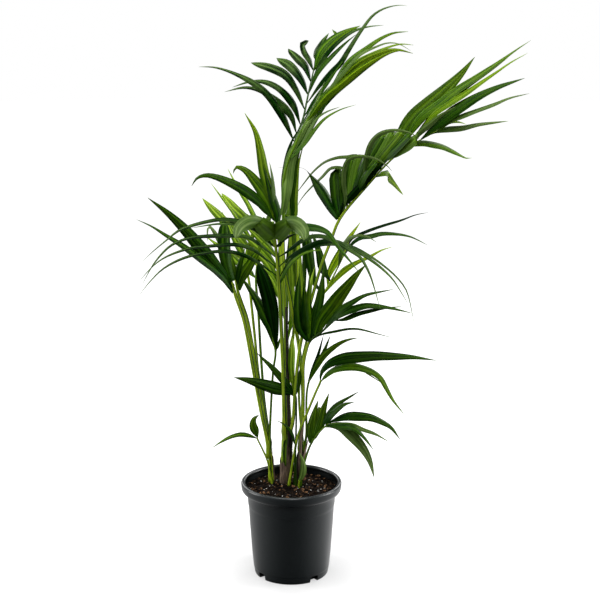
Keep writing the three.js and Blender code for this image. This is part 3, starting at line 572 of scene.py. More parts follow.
def stalk_finish(name, dark, light):
    """Smooth leaf stalk with streaks that run up it and darker patches."""
    stalk = Finish(name, 0.4, 0.14)
    streaks = stalk.grain(stalk.stretched((16, 7, 1), "UV"), 1.0, 2.5)
    patches = stalk.grain(stalk.stretched((1, 1, 0.3)), 30, 2)
    base = stalk.ramp(streaks, (0.38, dark), (0.56, light))
    stalk.colour(stalk.mixed(stalk.span(patches, 0, 0.6, 0.4, 0.75), base, (*shaded(dark, 0.7), 1)))
    stalk.gloss(stalk.span(streaks, 0.34, 0.5))
    stalk.relief(streaks, 0.2, 0.0004)
    return stalk.material


def sheath_finish(name, dark, light):
    """Dry leaf sheath: papery brown, split into fibres that run up the stem."""
    sheath = Finish(name, 0.8, 0.25)
    fibres = sheath.grain(sheath.stretched((1, 1, 0.06)), 700, 4, 0.7)
    patches = sheath.grain(sheath.stretched((1, 1, 0.5)), 90, 3)
    base = sheath.ramp(fibres, (0.36, dark), (0.64, light))
    sheath.colour(sheath.mixed(sheath.span(patches, 0, 0.75, 0.35, 0.7), base, (*shaded(dark, 0.6), 1)))
    sheath.relief(fibres, 0.8, 0.0008)
    return sheath.material


def pot_finish(name, colour, specular):
    """Charcoal moulded plastic: satin, with a fine skin, faint drag lines and dusty scuffs."""
    pot = Finish(name, 0.32, specular)
    skin = pot.grain(pot.stretched((1, 1, 1)), 900, 2)
    drag = pot.grain(pot.stretched((1, 1, 0.05)), 160, 2)
    scuffs = pot.grain(pot.stretched((1, 1, 1)), 26, 5, 0.7)
    dust = pot.span(scuffs, 0, 0.35, 0.55, 0.8)
    pot.colour(pot.mixed(dust, (*colour, 1), (*shaded(colour, 1.8), 1)))
    pot.gloss(pot.span(drag, 0.26, 0.38))
    pot.relief(skin, 0.12, 0.0003)
    return pot.material


def soil_finish(name, dark, light, scale):
    """Crumbly potting mix: damp, uneven and rough."""
    mix = Finish(name, 0.9, 0.06)
    crumbs = mix.grain(mix.stretched((1, 1, 1)), scale, 5, 0.7)
    mix.colour(mix.ramp(crumbs, (0.42, dark), (0.60, light)))
    mix.gloss(mix.span(crumbs, 0.75, 0.95))
    mix.relief(crumbs, 0.9, 0.002)
    return mix.material


# colour is a leaflet's green at its foot, and tip the paler green towards its end, a painted sheen where the
# blade bends over. Some tints are light and shade themselves: grey is a painted sheen, bright and lime are
# painted light shining through the blade, smooth is a lit green with few streaks, painted light, shade is
# painted shade, and tipped is painted shade near the rib that turns to a painted sheen.
LEAF_COLOURS = {
    "deep": dict(colour=(0.005, 0.034, 0.0005), tip=(0.036, 0.085, 0.003), specular=0.05),
    "mid": dict(colour=(0.031, 0.086, 0.0008), tip=(0.085, 0.155, 0.004), specular=0.055),
    "tipped": dict(colour=(0.0018, 0.017, 0.0003), tip=(0.085, 0.150, 0.034), specular=0.02, pale_from=0.4),
    "grey": dict(colour=(0.048, 0.100, 0.012), tip=(0.125, 0.185, 0.050), specular=0.08, streaking=0.25),
    "pale": dict(colour=(0.105, 0.190, 0.028), tip=(0.20, 0.30, 0.085), specular=0.08, streaking=0.5),
    "olive": dict(colour=(0.066, 0.130, 0.0012), tip=(0.150, 0.235, 0.005), specular=0.05),
    "smooth": dict(colour=(0.062, 0.135, 0.008), tip=(0.080, 0.160, 0.014), specular=0.02, streaking=0.3),
    "bright": dict(colour=(0.110, 0.205, 0.005), tip=(0.23, 0.33, 0.030), specular=0.03),
    "lime": dict(colour=(0.17, 0.27, 0.003), tip=(0.28, 0.38, 0.012), specular=0.03),
    "shade": dict(colour=(0.0008, 0.009, 0.0003), tip=(0.004, 0.024, 0.0006), specular=0.02),
}
OTHER_SIDE = {
    "deep": "mid", "mid": "deep", "tipped": "mid", "grey": "deep", "pale": "mid", "olive": "mid",
    "smooth": "deep", "bright": "mid", "lime": "bright", "shade": "deep",
}

FINISHES = {name: leaf_finish("leaf_" + name, **values) for name, values in LEAF_COLOURS.items()}
# The three stalk finishes are one stalk green at three lights: stalk_green is the plain one, the brightest
# carries painted light, and stalk_shaded carries painted shade.
FINISHES["stalk_green"] = stalk_finish("stalk_green", (0.024, 0.090, 0.002), (0.18, 0.34, 0.012))
FINISHES["stalk_lit"] = stalk_finish("stalk_lit", (0.075, 0.190, 0.003), (0.46, 0.62, 0.030))
FINISHES["stalk_shaded"] = stalk_finish("stalk_shaded", (0.004, 0.024, 0.0004), (0.030, 0.080, 0.001))
FINISHES["sheath_brown"] = sheath_finish("sheath_brown", (0.050, 0.033, 0.022), (0.32, 0.225, 0.160))
FINISHES["sheath_dark"] = sheath_finish("sheath_dark", (0.006, 0.006, 0.004), (0.045, 0.032, 0.020))
FINISHES["pot"] = pot_finish("pot_plastic", (0.0135, 0.0172, 0.0184), 0.5)
# The inside of the pot is the same plastic, darker and duller: painted shade on the inner wall.
FINISHES["pot_inside_shade"] = pot_finish("pot_plastic_inside_shade", (0.006, 0.0075, 0.008), 0.05)
FINISHES["soil"] = soil_finish("soil_mix", (0.0012, 0.0008, 0.0006), (0.014, 0.008, 0.005), 300)
FINISHES["bark"] = soil_finish("soil_bark", (0.035, 0.017, 0.008), (0.30, 0.160, 0.080), 420)
FINISHES["crumb"] = soil_finish("soil_crumb", (0.008, 0.005, 0.003), (0.085, 0.048, 0.027), 420)
FINISHES["perlite"] = soil_finish("soil_perlite", (0.30, 0.28, 0.25), (0.80, 0.78, 0.74), 700)


# ---- Lines and skins ---------------------------------------------------------------------------------

class Line:
    """A smooth line through its points, measured along its length from 0 to 1."""

    STEPS = 14

    def __init__(self, points):
        ends = [points[0] * 2 - points[1], *points, points[-1] * 2 - points[-2]]
        self.points = [points[0].copy()]
        for before, start, end, after in zip(ends, ends[1:], ends[2:], ends[3:]):
            self.points += self.stretch(before, start, end, after)
        self.lengths = [0.0]
        for a, b in zip(self.points, self.points[1:]):
            self.lengths.append(self.lengths[-1] + (b - a).length)
        self.length = self.lengths[-1]

    def stretch(self, before, start, end, after):
        spans = [max((b - a).length ** 0.5, 1e-4) for a, b in ((before, start), (start, end), (end, after))]
        leave = ((start - before) / spans[0] - (end - before) / (spans[0] + spans[1])
                 + (end - start) / spans[1]) * spans[1]
        arrive = ((end - start) / spans[1] - (after - start) / (spans[1] + spans[2])
                  + (after - end) / spans[2]) * spans[1]
        made = []
        for step in range(1, self.STEPS + 1):
            t = step / self.STEPS
            made.append(start + leave * t + (3 * (end - start) - 2 * leave - arrive) * t ** 2
                        + (2 * (start - end) + leave + arrive) * t ** 3)
        return made

    def at(self, t):
        wanted = min(max(t, 0.0), 1.0) * self.length
        i = min(max(bisect_right(self.lengths, wanted), 1), len(self.lengths) - 1)
        gap = self.lengths[i] - self.lengths[i - 1]
        return self.points[i - 1].lerp(self.points[i], (wanted - self.lengths[i - 1]) / gap if gap else 0)

    def tangent(self, t):
        return (self.at(t + 0.01) - self.at(t - 0.01)).normalized()


def even(count):
    return [i / count for i in range(count + 1)]


def lay_skin(bm, rings, slot_at, sharp_between_slots=True, mirrored=False):
    """A grid laid over rings of points and closed where they meet.

    slot_at(column, share of the way along) gives each face's material. A mirrored skin comes back over
    itself, and its second half is divided along the same diagonals as its first, so the two stay apart.
    """
    across, along = len(rings[0]) - 1, len(rings) - 1
    made = bmesh.ops.create_grid(bm, x_segments=across, y_segments=along, size=0.5, calc_uvs=True)["verts"]
    faces = {face for vert in made for face in vert.link_faces}
    there, back = [], []
    for face in faces:
        middle = face.calc_center_median()
        column = int((middle.x + 0.5) * across)
        face.material_index = slot_at(column, middle.y + 0.5)
        face.smooth = True
        (there if column < across / 2 else back).append(face)
    if mirrored:
        halves = bmesh.ops.triangulate(bm, faces=there, quad_method="FIXED")["faces"]
        halves += bmesh.ops.triangulate(bm, faces=back, quad_method="ALTERNATE")["faces"]
        faces = set(halves)
    for vert in made:
        column = round((vert.co.x + 0.5) * across)
        row = round((vert.co.y + 0.5) * along)
        vert.co = rings[row][column] * MM
    bmesh.ops.remove_doubles(bm, verts=made, dist=2e-6)
    if sharp_between_slots:
        edges = {edge for face in faces if face.is_valid for edge in face.edges}
        for edge in edges:
            edge.smooth = len({face.material_index for face in edge.link_faces}) < 2


def finished(bm, name, finishes, nodes, outward=True):
    """A bmesh made into a piece that rides on the root and stands for its nodes."""
    if outward:
        bmesh.ops.recalc_face_normals(bm, faces=bm.faces)
    mesh = bpy.data.meshes.new(name)
    bm.to_mesh(mesh)
    bm.free()
    for finish in finishes:
        mesh.materials.append(FINISHES[finish])
    piece = bpy.data.objects.new(name, mesh)
    scene.collection.objects.link(piece)
    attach(piece, "root")
    if nodes:
        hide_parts(*nodes)
    return piece


def new_bmesh():
    bm = bmesh.new()
    bm.loops.layers.uv.new("UVMap")
    return bm


# ---- Stalks ------------------------------------------------------------------------------------------

STALK_SIDES = 12
STALK_STEPS = 48  # rings along a stalk
STALK_CHANNEL = 0.28  # depth of the groove along a stalk's upper side, as a share of its radius
SHADED = {"right": (0.84, 1.09), "left": (0.33, 0.66)}  # the share of the way round where a stalk is painted dark as shade
SUNK_FOOT = 34  # length of a stalk's clasping foot inside its stem
FOOT_FLARE = 0.35  # how much thicker a stalk is at its foot, and so is what is sunk in the stem
FLARE_LENGTH = 45
RIB_FINISH_FROM = 0.06  # share of a stalk's length past its first leaflet where the rib's own finish starts


def stem_of(name):
    return next(stem for stem in STEMS.values() if name in stem["carries"])


def standing(name, frond):
    """Where a frond's stalk stands: on the soil, or in its place in the ring on its stem's top."""
    if "foot" in frond:
        return Vector((*frond["foot"], SOIL_TOP + CLEARANCE))
    stem = stem_of(name)
    bearing = math.radians(stem["turn"] + 360 / len(stem["carries"]) * stem["carries"].index(name))
    x, y = stem["top"]
    return Vector((x + stem["ring"] * math.cos(bearing), y + stem["ring"] * math.sin(bearing),
                   stem["height"] + CLEARANCE))


def limb(name, frond):
    """The line of a frond's stalk and rib, and the share of it where the rib begins."""
    points = [standing(name, frond)] + [place(*point) for point in frond["stalk"] + frond["rib"]]
    line = Line(points)
    rib_begins = (len(frond["stalk"]) + 1) * Line.STEPS
    return line, line.lengths[rib_begins] / line.length


def limb_radius(frond, bare, t):
    foot, first, end = frond["radius"]
    if t <= bare:
        return mixed(foot, first, t / bare)
    return mixed(first, end, (t - bare) / (1 - bare))


def oval(centre, across, up, radius, channel):
    """A ring round a stalk, dished on its upper side."""
    ring = []
    for share in even(STALK_SIDES):
        angle = math.tau * share
        dish = 1 - channel * max(math.sin(angle), 0) ** 6
        ring.append(centre + across * (radius * math.cos(angle)) + up * (radius * math.sin(angle) * dish))
    return ring


def make_stalk(name, frond, line, bare):
    bm = new_bmesh()
    rings = []
    foot = line.at(0)
    if "foot" not in frond:
        stem = stem_of(name)
        middle = Vector((*stem["top"], stem["height"]))
        for share in (1, 0.6, 0.25):
            drop = Vector((0, 0, SUNK_FOOT * share))
            sunk = foot.lerp(Vector((middle.x, middle.y, foot.z)), 0.35 * share) - drop
            rings.append((sunk, Vector((0, 0, 1)), frond["radius"][0] * (1.15 + FOOT_FLARE * share)))
    for t in even(STALK_STEPS):
        flare = 1 + FOOT_FLARE * max(0, 1 - t * line.length / FLARE_LENGTH) ** 2
        rings.append((line.at(t), line.tangent(t), limb_radius(frond, bare, t) * flare))
    made = []
    for centre, tangent, radius in rings:
        facing = towards_eye(centre)
        up = (facing - tangent * facing.dot(tangent)).normalized()
        made.append(oval(centre, tangent.cross(up), up, radius, STALK_CHANNEL))
    made.insert(0, [rings[0][0]] * (STALK_SIDES + 1))
    made.append([rings[-1][0]] * (STALK_SIDES + 1))
    # Columns in the shade side's share take stalk_shaded, painted shade, and a rib with its own finish takes
    # it from just past its first leaflet.
    low, high = SHADED[frond.get("shade", "right")]
    bare_share = bare * (STALK_STEPS + 1) / len(made)

    def slot_at(column, along):
        if "rib_finish" in frond and along > bare_share + RIB_FINISH_FROM:
            return 2
        return 1 if (column / STALK_SIDES - low) % 1 < high - low else 0

    lay_skin(bm, made, slot_at, sharp_between_slots=False)
    finishes = [frond["finish"], "stalk_shaded", frond.get("rib_finish", frond["finish"])]
    return finished(bm, name + "_frond_stalk", finishes, [name + "_stalk"])


# ---- Leaflets ----------------------------------------------------------------------------------------

LEAFLET = dict(
    thickness=0.6,
    root=2.6,  # width at the foot
    tip=0.7,  # width at the tip
    widest=0.36,  # where along its length it is broadest
    slant=2.6,  # most that its real width exceeds the width it shows
    fold=0.36,  # rise of its middle fold, as a share of half its width
)
LATE_WIDEST = 0.6  # where a blunt blade or a fan is broadest
TAIL_FROM = 0.62  # where a tailed blade has drawn in
TAIL_WIDTH = 1.6
BLUNT_FROM = 0.72  # where a blunt blade starts to close
WIDE_ROOT = 0.42  # width of a wide blade's foot, as a share of its widest place
OPENING, FAN_OPENING = 1.1, 1.7  # how slowly a blade opens from its foot
FAN_CORNERS = (0.85, 0.15)  # where a fan's end starts to draw in, and by what share
STUB_TAPER = 0.35
EDGE_WAVE = 0.025  # swing of a leaflet's edges, as a share of its width
LEAFLET_STEPS = (12, 30)  # fewest and most rings along a leaflet
STEP_LENGTH = 9


def blade_width(t, widest, cuts):
    """Width along a blade: it opens from its narrow foot to its widest place and draws out to its tip."""
    peak = LATE_WIDEST if "blunt" in cuts or "fan" in cuts else LEAFLET["widest"]
    root = widest * WIDE_ROOT if "wide" in cuts else LEAFLET["root"]
    opening = FAN_OPENING if "fan" in cuts else OPENING
    if "stub" in cuts:
        return widest * (1 - STUB_TAPER * t * t)
    if t < peak:
        return mixed(root, widest, math.sin(math.pi / 2 * t / peak) ** opening)
    if "fan" in cuts:
        start, loss = FAN_CORNERS
        return widest * (1 - loss * max(0, t - start) / (1 - start))
    if "blunt" in cuts:
        past = max(0, (t - BLUNT_FROM) / (1 - BLUNT_FROM))
        return mixed(widest * (1 - 0.08 * (t - peak)), LEAFLET["tip"], past ** 2.2)
    if "tail" in cuts:
        past = min(1, (t - peak) / (TAIL_FROM - peak))
        if t < TAIL_FROM:
            return mixed(widest, TAIL_WIDTH, past ** 1.3)
        return mixed(TAIL_WIDTH, LEAFLET["tip"], t)
    return mixed(widest, LEAFLET["tip"], ((t - peak) / (1 - peak)) ** 1.5)


def leaflet_line(foot, way):
    """A leaflet's line. Where a way point gives no depth, it lies in proportion between foot and tip."""
    drawn = [sight(foot), *way]
    lengths = [0.0]
    for a, b in zip(drawn, drawn[1:]):
        lengths.append(lengths[-1] + math.hypot(b[0] - a[0], b[1] - a[1]))
    first, last = drawn[0][2], way[-1][2]
    points = []
    for point, length in zip(drawn, lengths):
        depth = point[2] if len(point) > 2 else mixed(first, last, length / lengths[-1])
        points.append(place(point[0], point[1], depth))
    return Line(points)


def blade_section(centre, across, up, width, folds, edge_wave):
    """A closed ring round a blade: its upper side from edge to edge, then its lower side back."""
    half = width / 2
    columns = 4 * folds
    upper, lower = [], []
    for i in range(columns + 1):
        u = -1 + 2 * i / columns
        fold = 1 - abs(((u + 1) / 2 * folds) % 1 * 2 - 1)
        droop = -0.10 * abs(u) ** 2
        rise = (LEAFLET["fold"] / folds * fold + droop) * half + edge_wave * u * abs(u)
        body = LEAFLET["thickness"] * (0.5 if i % 2 else 1) / 2 * min(1, width / 4)
        body = 0 if i in (0, columns) else body
        middle = centre + across * (u * half) + up * rise
        upper.append(middle + up * body)
        lower.append(middle - up * body)
    return upper + lower[-2::-1]


def add_leaflet(bm, foot, row, breadth, index, draw):
    """One leaflet laid into bm. Its upper side takes the finish that shows, its lower side the other."""
    _, seen, finish, *way = row
    tint, *cuts = finish.split()
    folds = 3 if "pleated" in cuts else 1
    line = leaflet_line(foot, way)
    real = seen if "flat" in cuts else max(seen, min(breadth, seen * LEAFLET["slant"]))
    turn = math.acos(seen / real)
    upwards = 1 if line.tangent(0.5).cross(towards_eye(line.at(0.5))).z >= 0 else -1
    steps = max(LEAFLET_STEPS[0], min(LEAFLET_STEPS[1], round(line.length / STEP_LENGTH)))
    curl = draw.uniform(-0.25, 0.25)
    waves = draw.uniform(1.5, 3)
    shift = draw.uniform(0, math.tau)
    rings = []
    for t in even(steps):
        tangent = line.tangent(t)
        centre = line.at(t)
        facing = towards_eye(centre)
        facing = (facing - tangent * facing.dot(tangent)).normalized()
        rise = tangent.cross(facing) * upwards
        angle = turn * (0.85 + 0.3 * t) + curl * t * t
        up = facing * math.cos(angle) + rise * math.sin(angle)
        width = blade_width(t, real, cuts)
        edge_wave = width * EDGE_WAVE * math.sin(math.tau * waves * t + shift)
        rings.append(blade_section(centre, tangent.cross(up), up, width, folds, edge_wave))
    ring_size = len(rings[0])
    rings.insert(0, [line.at(0)] * ring_size)
    rings.append([line.at(1)] * ring_size)
    columns = 4 * folds
    slots = [index[tint]] * columns + [index[OTHER_SIDE[tint]]] * columns
    lay_skin(bm, rings, lambda column, along: slots[column], mirrored=True)


def make_leaflets(name, frond, line, bare, draw):
    bm = new_bmesh()
    used = [row[2].split()[0] for row in frond["left"] + frond["right"]]
    wanted = {*used, *(OTHER_SIDE[tint] for tint in used)}
    finishes = [tint for tint in LEAF_COLOURS if tint in wanted]
    index = {finish: i for i, finish in enumerate(finishes)}
    for side, rows in ((-1, frond["left"]), (1, frond["right"])):
        for row in rows:
            along = mixed(bare, 1, row[0])
            point = line.at(along)
            across = line.tangent(along).cross(towards_eye(point)).normalized()
            foot = point + across * side * limb_radius(frond, bare, along) * 0.6
            add_leaflet(bm, foot, row, frond["breadth"], index, draw)
    nodes = [name + "_leaves"] if frond.get("joined") else [name + "_left", name + "_right"]
    return finished(bm, name + "_frond_leaflets", finishes, nodes)


def make_fronds():
    draw = random.Random(SEED)
    for name, frond in FRONDS.items():
        line, bare = limb(name, frond)
        make_stalk(name, frond, line, bare)
        make_leaflets(name, frond, line, bare, draw)


make_fronds()


# ---- Stems -------------------------------------------------------------------------------------------

STEM_SIDES = 24
# A stem's own finish, then its stripes as (bearing, half spread, finish), in degrees. The brightest stalk
# finish, as a core or a stripe, is painted light on a stem's lit side, and stalk_shaded stripes are painted
# shade in a line down the stem; the sheath stripes are the sheaths' own colour.
STEM_SKINS = {
    "left_stem": ("stalk_lit", [(345, 30, "sheath_brown"), (270, 10, "stalk_shaded")]),
    "centre_stem": ("stalk_green", [(196, 30, "stalk_lit"), (246, 12, "stalk_shaded"),
                                    (330, 40, "sheath_dark")]),
    "right_stem": ("sheath_dark", [(345, 30, "sheath_brown")]),
}
# A stem's sheaths as (bearing it is centred on, half spread, height, stand-off, finish).
SHEATHS = {
    "left_stem": [(350, 30, 246, 0.6, "sheath_brown")],
    "centre_stem": [(232, 46, 236, 0.9, "sheath_brown"), (330, 40, 300, 0.7, "sheath_dark"),
                    (288, 16, 300, 1.2, "sheath_brown"), (60, 120, 262, 0.8, "sheath_brown")],
    "right_stem": [(345, 44, 290, 1.0, "sheath_brown"), (60, 60, 268, 0.8, "sheath_brown")],
}
# A rolled strip of old sheath that stands up from a stem: its ends, radius, taper and finish.
ROLLED_STRIPS = {
    "centre_stem": dict(ends=((-3, 276, 20), (-10, 575, 24)), radius=4.4, taper=0.45, finish="sheath_dark"),
    "right_stem": dict(ends=((18, 215, 14), (23, 332, 12)), radius=3.9, taper=0.35, finish="sheath_brown"),
}
LOOSE_FIBRES = 14  # on each stem
FIBRE_RADIUS = 0.3
STRAND_SIDES = 5
FOOT_SWELL = 1.6  # how much thicker a stem is where it leaves the soil
SHEATH_THICKNESS = 0.45
SHEATH_COLUMNS = 22


def stem_line(stem):
    low = Vector((*stem["foot"], SOIL_TOP + CLEARANCE))
    high = Vector((*stem["top"], stem["height"]))
    bend = low.lerp(high, 0.5)
    bend.x = mixed(low.x, high.x, 0.35)
    return Line([low, bend, high])


def add_stem_core(bm, line, radius, slot_at):
    """The stem itself, ribbed by the stalks that clasp it, closing in round their feet."""
    rings = []
    for t in even(16):
        centre = line.at(t)
        size = mixed(*radius, t) + FOOT_SWELL * (1 - t) ** 3
        close = 1 - 0.45 * max(0, (t - 0.8) / 0.2) ** 2
        ring = []
        for share in even(STEM_SIDES):
            angle = math.tau * share
            rib = 1 + 0.05 * math.sin(5 * angle + 0.8) + 0.03 * math.sin(11 * angle)
            ring.append(centre + Vector((math.cos(angle), math.sin(angle), 0)) * size * rib * close)
        rings.append(ring)
    rings.insert(0, [line.at(0)] * (STEM_SIDES + 1))
    rings.append([line.at(1)] * (STEM_SIDES + 1))
    lay_skin(bm, rings, slot_at, sharp_between_slots=False)


def add_sheath(bm, line, radius, sheath, slot, draw):
    """A torn sheath round part of a stem, thin, with a ragged upper edge that stands off a little."""
    bearing, spread, height, stand_off = sheath
    top = (height - line.points[0].z) / (line.points[-1].z - line.points[0].z)
    aside = [2 * share - 1 for share in even(SHEATH_COLUMNS)]
    tongue = [1 - 0.3 * abs(offset) ** 2.5 for offset in aside]
    torn = [top * share * (1 + draw.uniform(-0.16, 0.02)) for share in tongue]
    torn = [min(a, b) if i % 3 else a for i, (a, b) in enumerate(zip(torn, torn[1:] + torn[:1]))]
    rings = []
    for t in even(14):
        ring = []
        for offset, end in zip(aside, torn):
            angle = math.radians(bearing + spread * offset)
            reach = t * end
            centre = line.at(reach)
            if reach > 1:
                centre = centre + line.tangent(1) * (reach - 1) * line.length
            size = mixed(*radius, min(reach, 1)) + FOOT_SWELL * max(0, 1 - reach) ** 3 + stand_off
            crease = 0.35 * noise.noise(Vector((angle * 5, t * 3, height)))
            lift = 1.4 * max(0, t - 0.82) * (1 + noise.noise(Vector((angle * 3, height, 2.0))))
            ring.append(centre + Vector((math.cos(angle), math.sin(angle), 0)) * (size + crease + lift * 4))
        rings.append(ring)
    before = set(bm.faces)
    lay_skin(bm, rings, lambda column, along: slot)
    faces = [face for face in bm.faces if face not in before]
    bmesh.ops.recalc_face_normals(bm, faces=faces)
    bmesh.ops.solidify(bm, geom=faces, thickness=-SHEATH_THICKNESS * MM)


def add_strand(bm, start, end, radius, slot, draw, taper=0.75):
    """One loose fibre or rolled strip, bent a little, that thins towards its end."""
    sag = Vector((draw.uniform(-2, 2), draw.uniform(-2, 2), draw.uniform(-1, 2)))
    line = Line([start, start.lerp(end, 0.5) + sag, end])
    rings = []
    for t in even(6):
        thick = radius * (1 - taper * t)
        across = line.tangent(t).orthogonal().normalized()
        up = line.tangent(t).cross(across)
        ring = []
        for share in even(STRAND_SIDES):
            angle = math.tau * share
            ring.append(line.at(t) + across * thick * math.cos(angle) + up * thick * math.sin(angle))
        rings.append(ring)
    rings.insert(0, [line.at(0)] * (STRAND_SIDES + 1))
    rings.append([line.at(1)] * (STRAND_SIDES + 1))
    lay_skin(bm, rings, lambda column, along: slot)


def make_stem(name, stem, draw):
    bm = new_bmesh()
    line = stem_line(stem)
    core, stripes = STEM_SKINS[name]
    finishes = [core, "sheath_brown", "sheath_dark", "stalk_lit", "stalk_shaded"]

    def slot_at(column, along):
        bearing = 360 * (column + 0.5) / STEM_SIDES
        for middle, spread, finish in stripes:
            if abs((bearing - middle + 180) % 360 - 180) < spread:
                return finishes.index(finish, 1)
        return 0

    add_stem_core(bm, line, stem["radius"], slot_at)
    for *sheath, finish in SHEATHS[name]:
        add_sheath(bm, line, stem["radius"], sheath, finishes.index(finish, 1), draw)
    if name in ROLLED_STRIPS:
        strip = ROLLED_STRIPS[name]
        start, end = (place(*point) for point in strip["ends"])
        slot = finishes.index(strip["finish"], 1)
        add_strand(bm, start, end, strip["radius"], slot, draw, strip["taper"])
    for _ in range(LOOSE_FIBRES):
        bearing = draw.uniform(0, math.tau)
        t = draw.uniform(0.35, 0.75)
        out = Vector((math.cos(bearing), math.sin(bearing), 0))
        size = mixed(*stem["radius"], t) + 1
        start = line.at(t) + out * size
        end = start + out * draw.uniform(0.5, 3.5) + Vector((0, 0, draw.uniform(8, 20)))
        add_strand(bm, start, end, FIBRE_RADIUS, 1, draw)
    return finished(bm, name + "_sheathed", finishes, [name], outward=False)


def make_stems():
    draw = random.Random(SEED + 1)
    for name, stem in STEMS.items():
        make_stem(name, stem, draw)


make_stems()


# ---- The pot -----------------------------------------------------------------------------------------

POT_FLOOR = 3
POT_STEPS = 120  # facets round the pot
SHARP_FROM = 38  # least angle of an edge that looks sharp, in degrees
LIP_RADIUS, LIP_HEIGHT, LIP_ROLL = 100.5, 197, 4.5
LIP_ARC = (-12, 250)  # bearings round the lip's roll where its outside begins and its inside ends
LIP_STEPS = 14
# The wall as (radius, height), up its outside from the rounded foot, and down its inside from the lip.
POT_OUTSIDE = [
    (74, 0), (76.4, 0.7), (77.5, 2.6), (79, 12), (79.4, 15.6), (79.9, 16.3), (80, 17.9), (80.1, 18.6),
    (82.6, 45), (84.3, 69), (87.2, 110), (89.3, 146), (89.6, 149.6), (90.3, 151.6), (90.8, 155), (91.5, 166),
    (92.2, 173.6), (93.8, 178), (98, 180.2), (101.6, 182.2), (103.6, 185.4), (104.6, 190),
]
POT_INSIDE = [
    (100, 192), (98.2, 183), (96.2, 182), (91.8, 178), (90.2, 170), (89.5, 154), (86.3, 148), (77.4, 15),
    (75, 3),
]
# The arched drain openings, each cut by a block from below the foot. first is the bearing of the first.
NOTCHES = dict(count=4, first=-52, width=20, height=14, below=4, corner=5, inner=64, outer=90)


def lip_arc(steps):
    for share in even(steps):
        angle = math.radians(mixed(*LIP_ARC, share))
        yield LIP_RADIUS + LIP_ROLL * math.cos(angle), LIP_HEIGHT + LIP_ROLL * math.sin(angle)


def spun(bm, profile, steps):
    """A profile of (radius, height) points turned round the pot's axis."""
    verts = [bm.verts.new((radius * MM, 0, height * MM)) for radius, height in profile]
    edges = [bm.edges.new(pair) for pair in zip(verts, verts[1:])]
    bmesh.ops.spin(bm, geom=verts + edges, cent=(0, 0, 0), axis=(0, 0, 1), dvec=(0, 0, 0), angle=math.tau,
                   steps=steps, use_merge=True)
    bmesh.ops.remove_doubles(bm, verts=bm.verts, dist=1e-6)
    bmesh.ops.recalc_face_normals(bm, faces=bm.faces)
    for face in bm.faces:
        face.smooth = True


def notch_cutters():
    """The drain openings at the pot's foot, as blocks with rounded upper edges."""
    bm = bmesh.new()
    deep = NOTCHES["outer"] - NOTCHES["inner"]
    tall = NOTCHES["height"] + NOTCHES["below"]
    middle = tall / 2 - NOTCHES["below"]
    for i in range(NOTCHES["count"]):
        made = bmesh.ops.create_cube(bm, size=1)["verts"]
        bmesh.ops.scale(bm, vec=(NOTCHES["width"] * MM, deep * MM, tall * MM), verts=made)
        bmesh.ops.translate(bm, vec=(0, -(NOTCHES["inner"] + deep / 2) * MM, middle * MM), verts=made)
        edges = {edge for vert in made for edge in vert.link_edges}
        tops = [edge for edge in edges if all(vert.co.z > middle * MM for vert in edge.verts)
                and abs(edge.verts[0].co.x - edge.verts[1].co.x) < 1e-6]
        rounded = bmesh.ops.bevel(bm, geom=tops, offset=NOTCHES["corner"] * MM, segments=6, profile=0.5,
                                  affect="EDGES", material=-1)
        block = set(made) | set(rounded["verts"])
        turn = Matrix.Rotation(math.radians(NOTCHES["first"] + 360 / NOTCHES["count"] * i), 4, "Z")
        bmesh.ops.transform(bm, matrix=turn, verts=[v for v in block if v.is_valid])
    mesh = bpy.data.meshes.new("notch_cutters")
    bm.to_mesh(mesh)
    bm.free()
    cutter = bpy.data.objects.new("notch_cutters", mesh)
    scene.collection.objects.link(cutter)
    return cutter


def make_pot():
    bm = new_bmesh()
    profile = [(0, 0), *POT_OUTSIDE, *lip_arc(LIP_STEPS), *POT_INSIDE, (0, POT_FLOOR)]
    spun(bm, profile, POT_STEPS)
    # Faces that look inwards below the lip take the darker plastic, painted shade inside the pot.
    for face in bm.faces:
        middle = face.calc_center_median()
        inward = middle.x * face.normal.x + middle.y * face.normal.y < 0
        face.material_index = 1 if inward and middle.z < LIP_HEIGHT * MM else 0
    pot = finished(bm, "nursery_pot", ["pot", "pot_inside_shade"], ["pot"])
    cutter = notch_cutters()
    cut = pot.modifiers.new("notches", "BOOLEAN")
    cut.operation = "DIFFERENCE"
    cut.solver = "EXACT"
    cut.object = cutter
    bpy.context.view_layer.update()
    whole = bpy.data.meshes.new_from_object(pot.evaluated_get(bpy.context.evaluated_depsgraph_get()))
    pot.modifiers.clear()
    pot.data = whole
    bpy.data.objects.remove(cutter)
    whole.set_sharp_from_angle(angle=math.radians(SHARP_FROM))


make_pot()


# ---- Potting mix -------------------------------------------------------------------------------------

SOIL_RIM = 97.6  # radius of the mix where it meets the pot
SOIL_RINGS = 34
SOIL_STEPS = 110
# The root ball's side, down from under the rim, as (radius, height). It lies just inside the pot's wall.
SOIL_SIDE = [
    (95.6, 181.8), (91.3, 177.8), (89.7, 170), (89, 154), (85.8, 148), (76.9, 15), (62, 3.3), (0, 3.3),
]
CHIPS, CHIPS_REACH = 760, 93
CHIP_KINDS = ("bark", "crumb", "soil")
CHIP_SHARES = (14, 30, 56)
CHIP_LENGTHS = ((4, 10), (2.5, 8), (2, 7))
GRAINS, GRAINS_REACH = 64, 90
GRAIN_WIDTHS = (1.6, 3.6)


def mix_height(x, y):
    """The uneven surface of the mix, a little heaped round the stems."""
    lumps = 2.6 * noise.noise(Vector((x, y, 0)) * 0.055) + 1.5 * noise.noise(Vector((x, y, 9)) * 0.16)
    fine = 0.8 * noise.noise(Vector((x, y, 20)) * 0.45)
    heap = 2.2 * math.exp(-((x + 6) ** 2 + (y - 32) ** 2) / 1500)
    return SOIL_TOP + lumps + fine + heap - 0.6


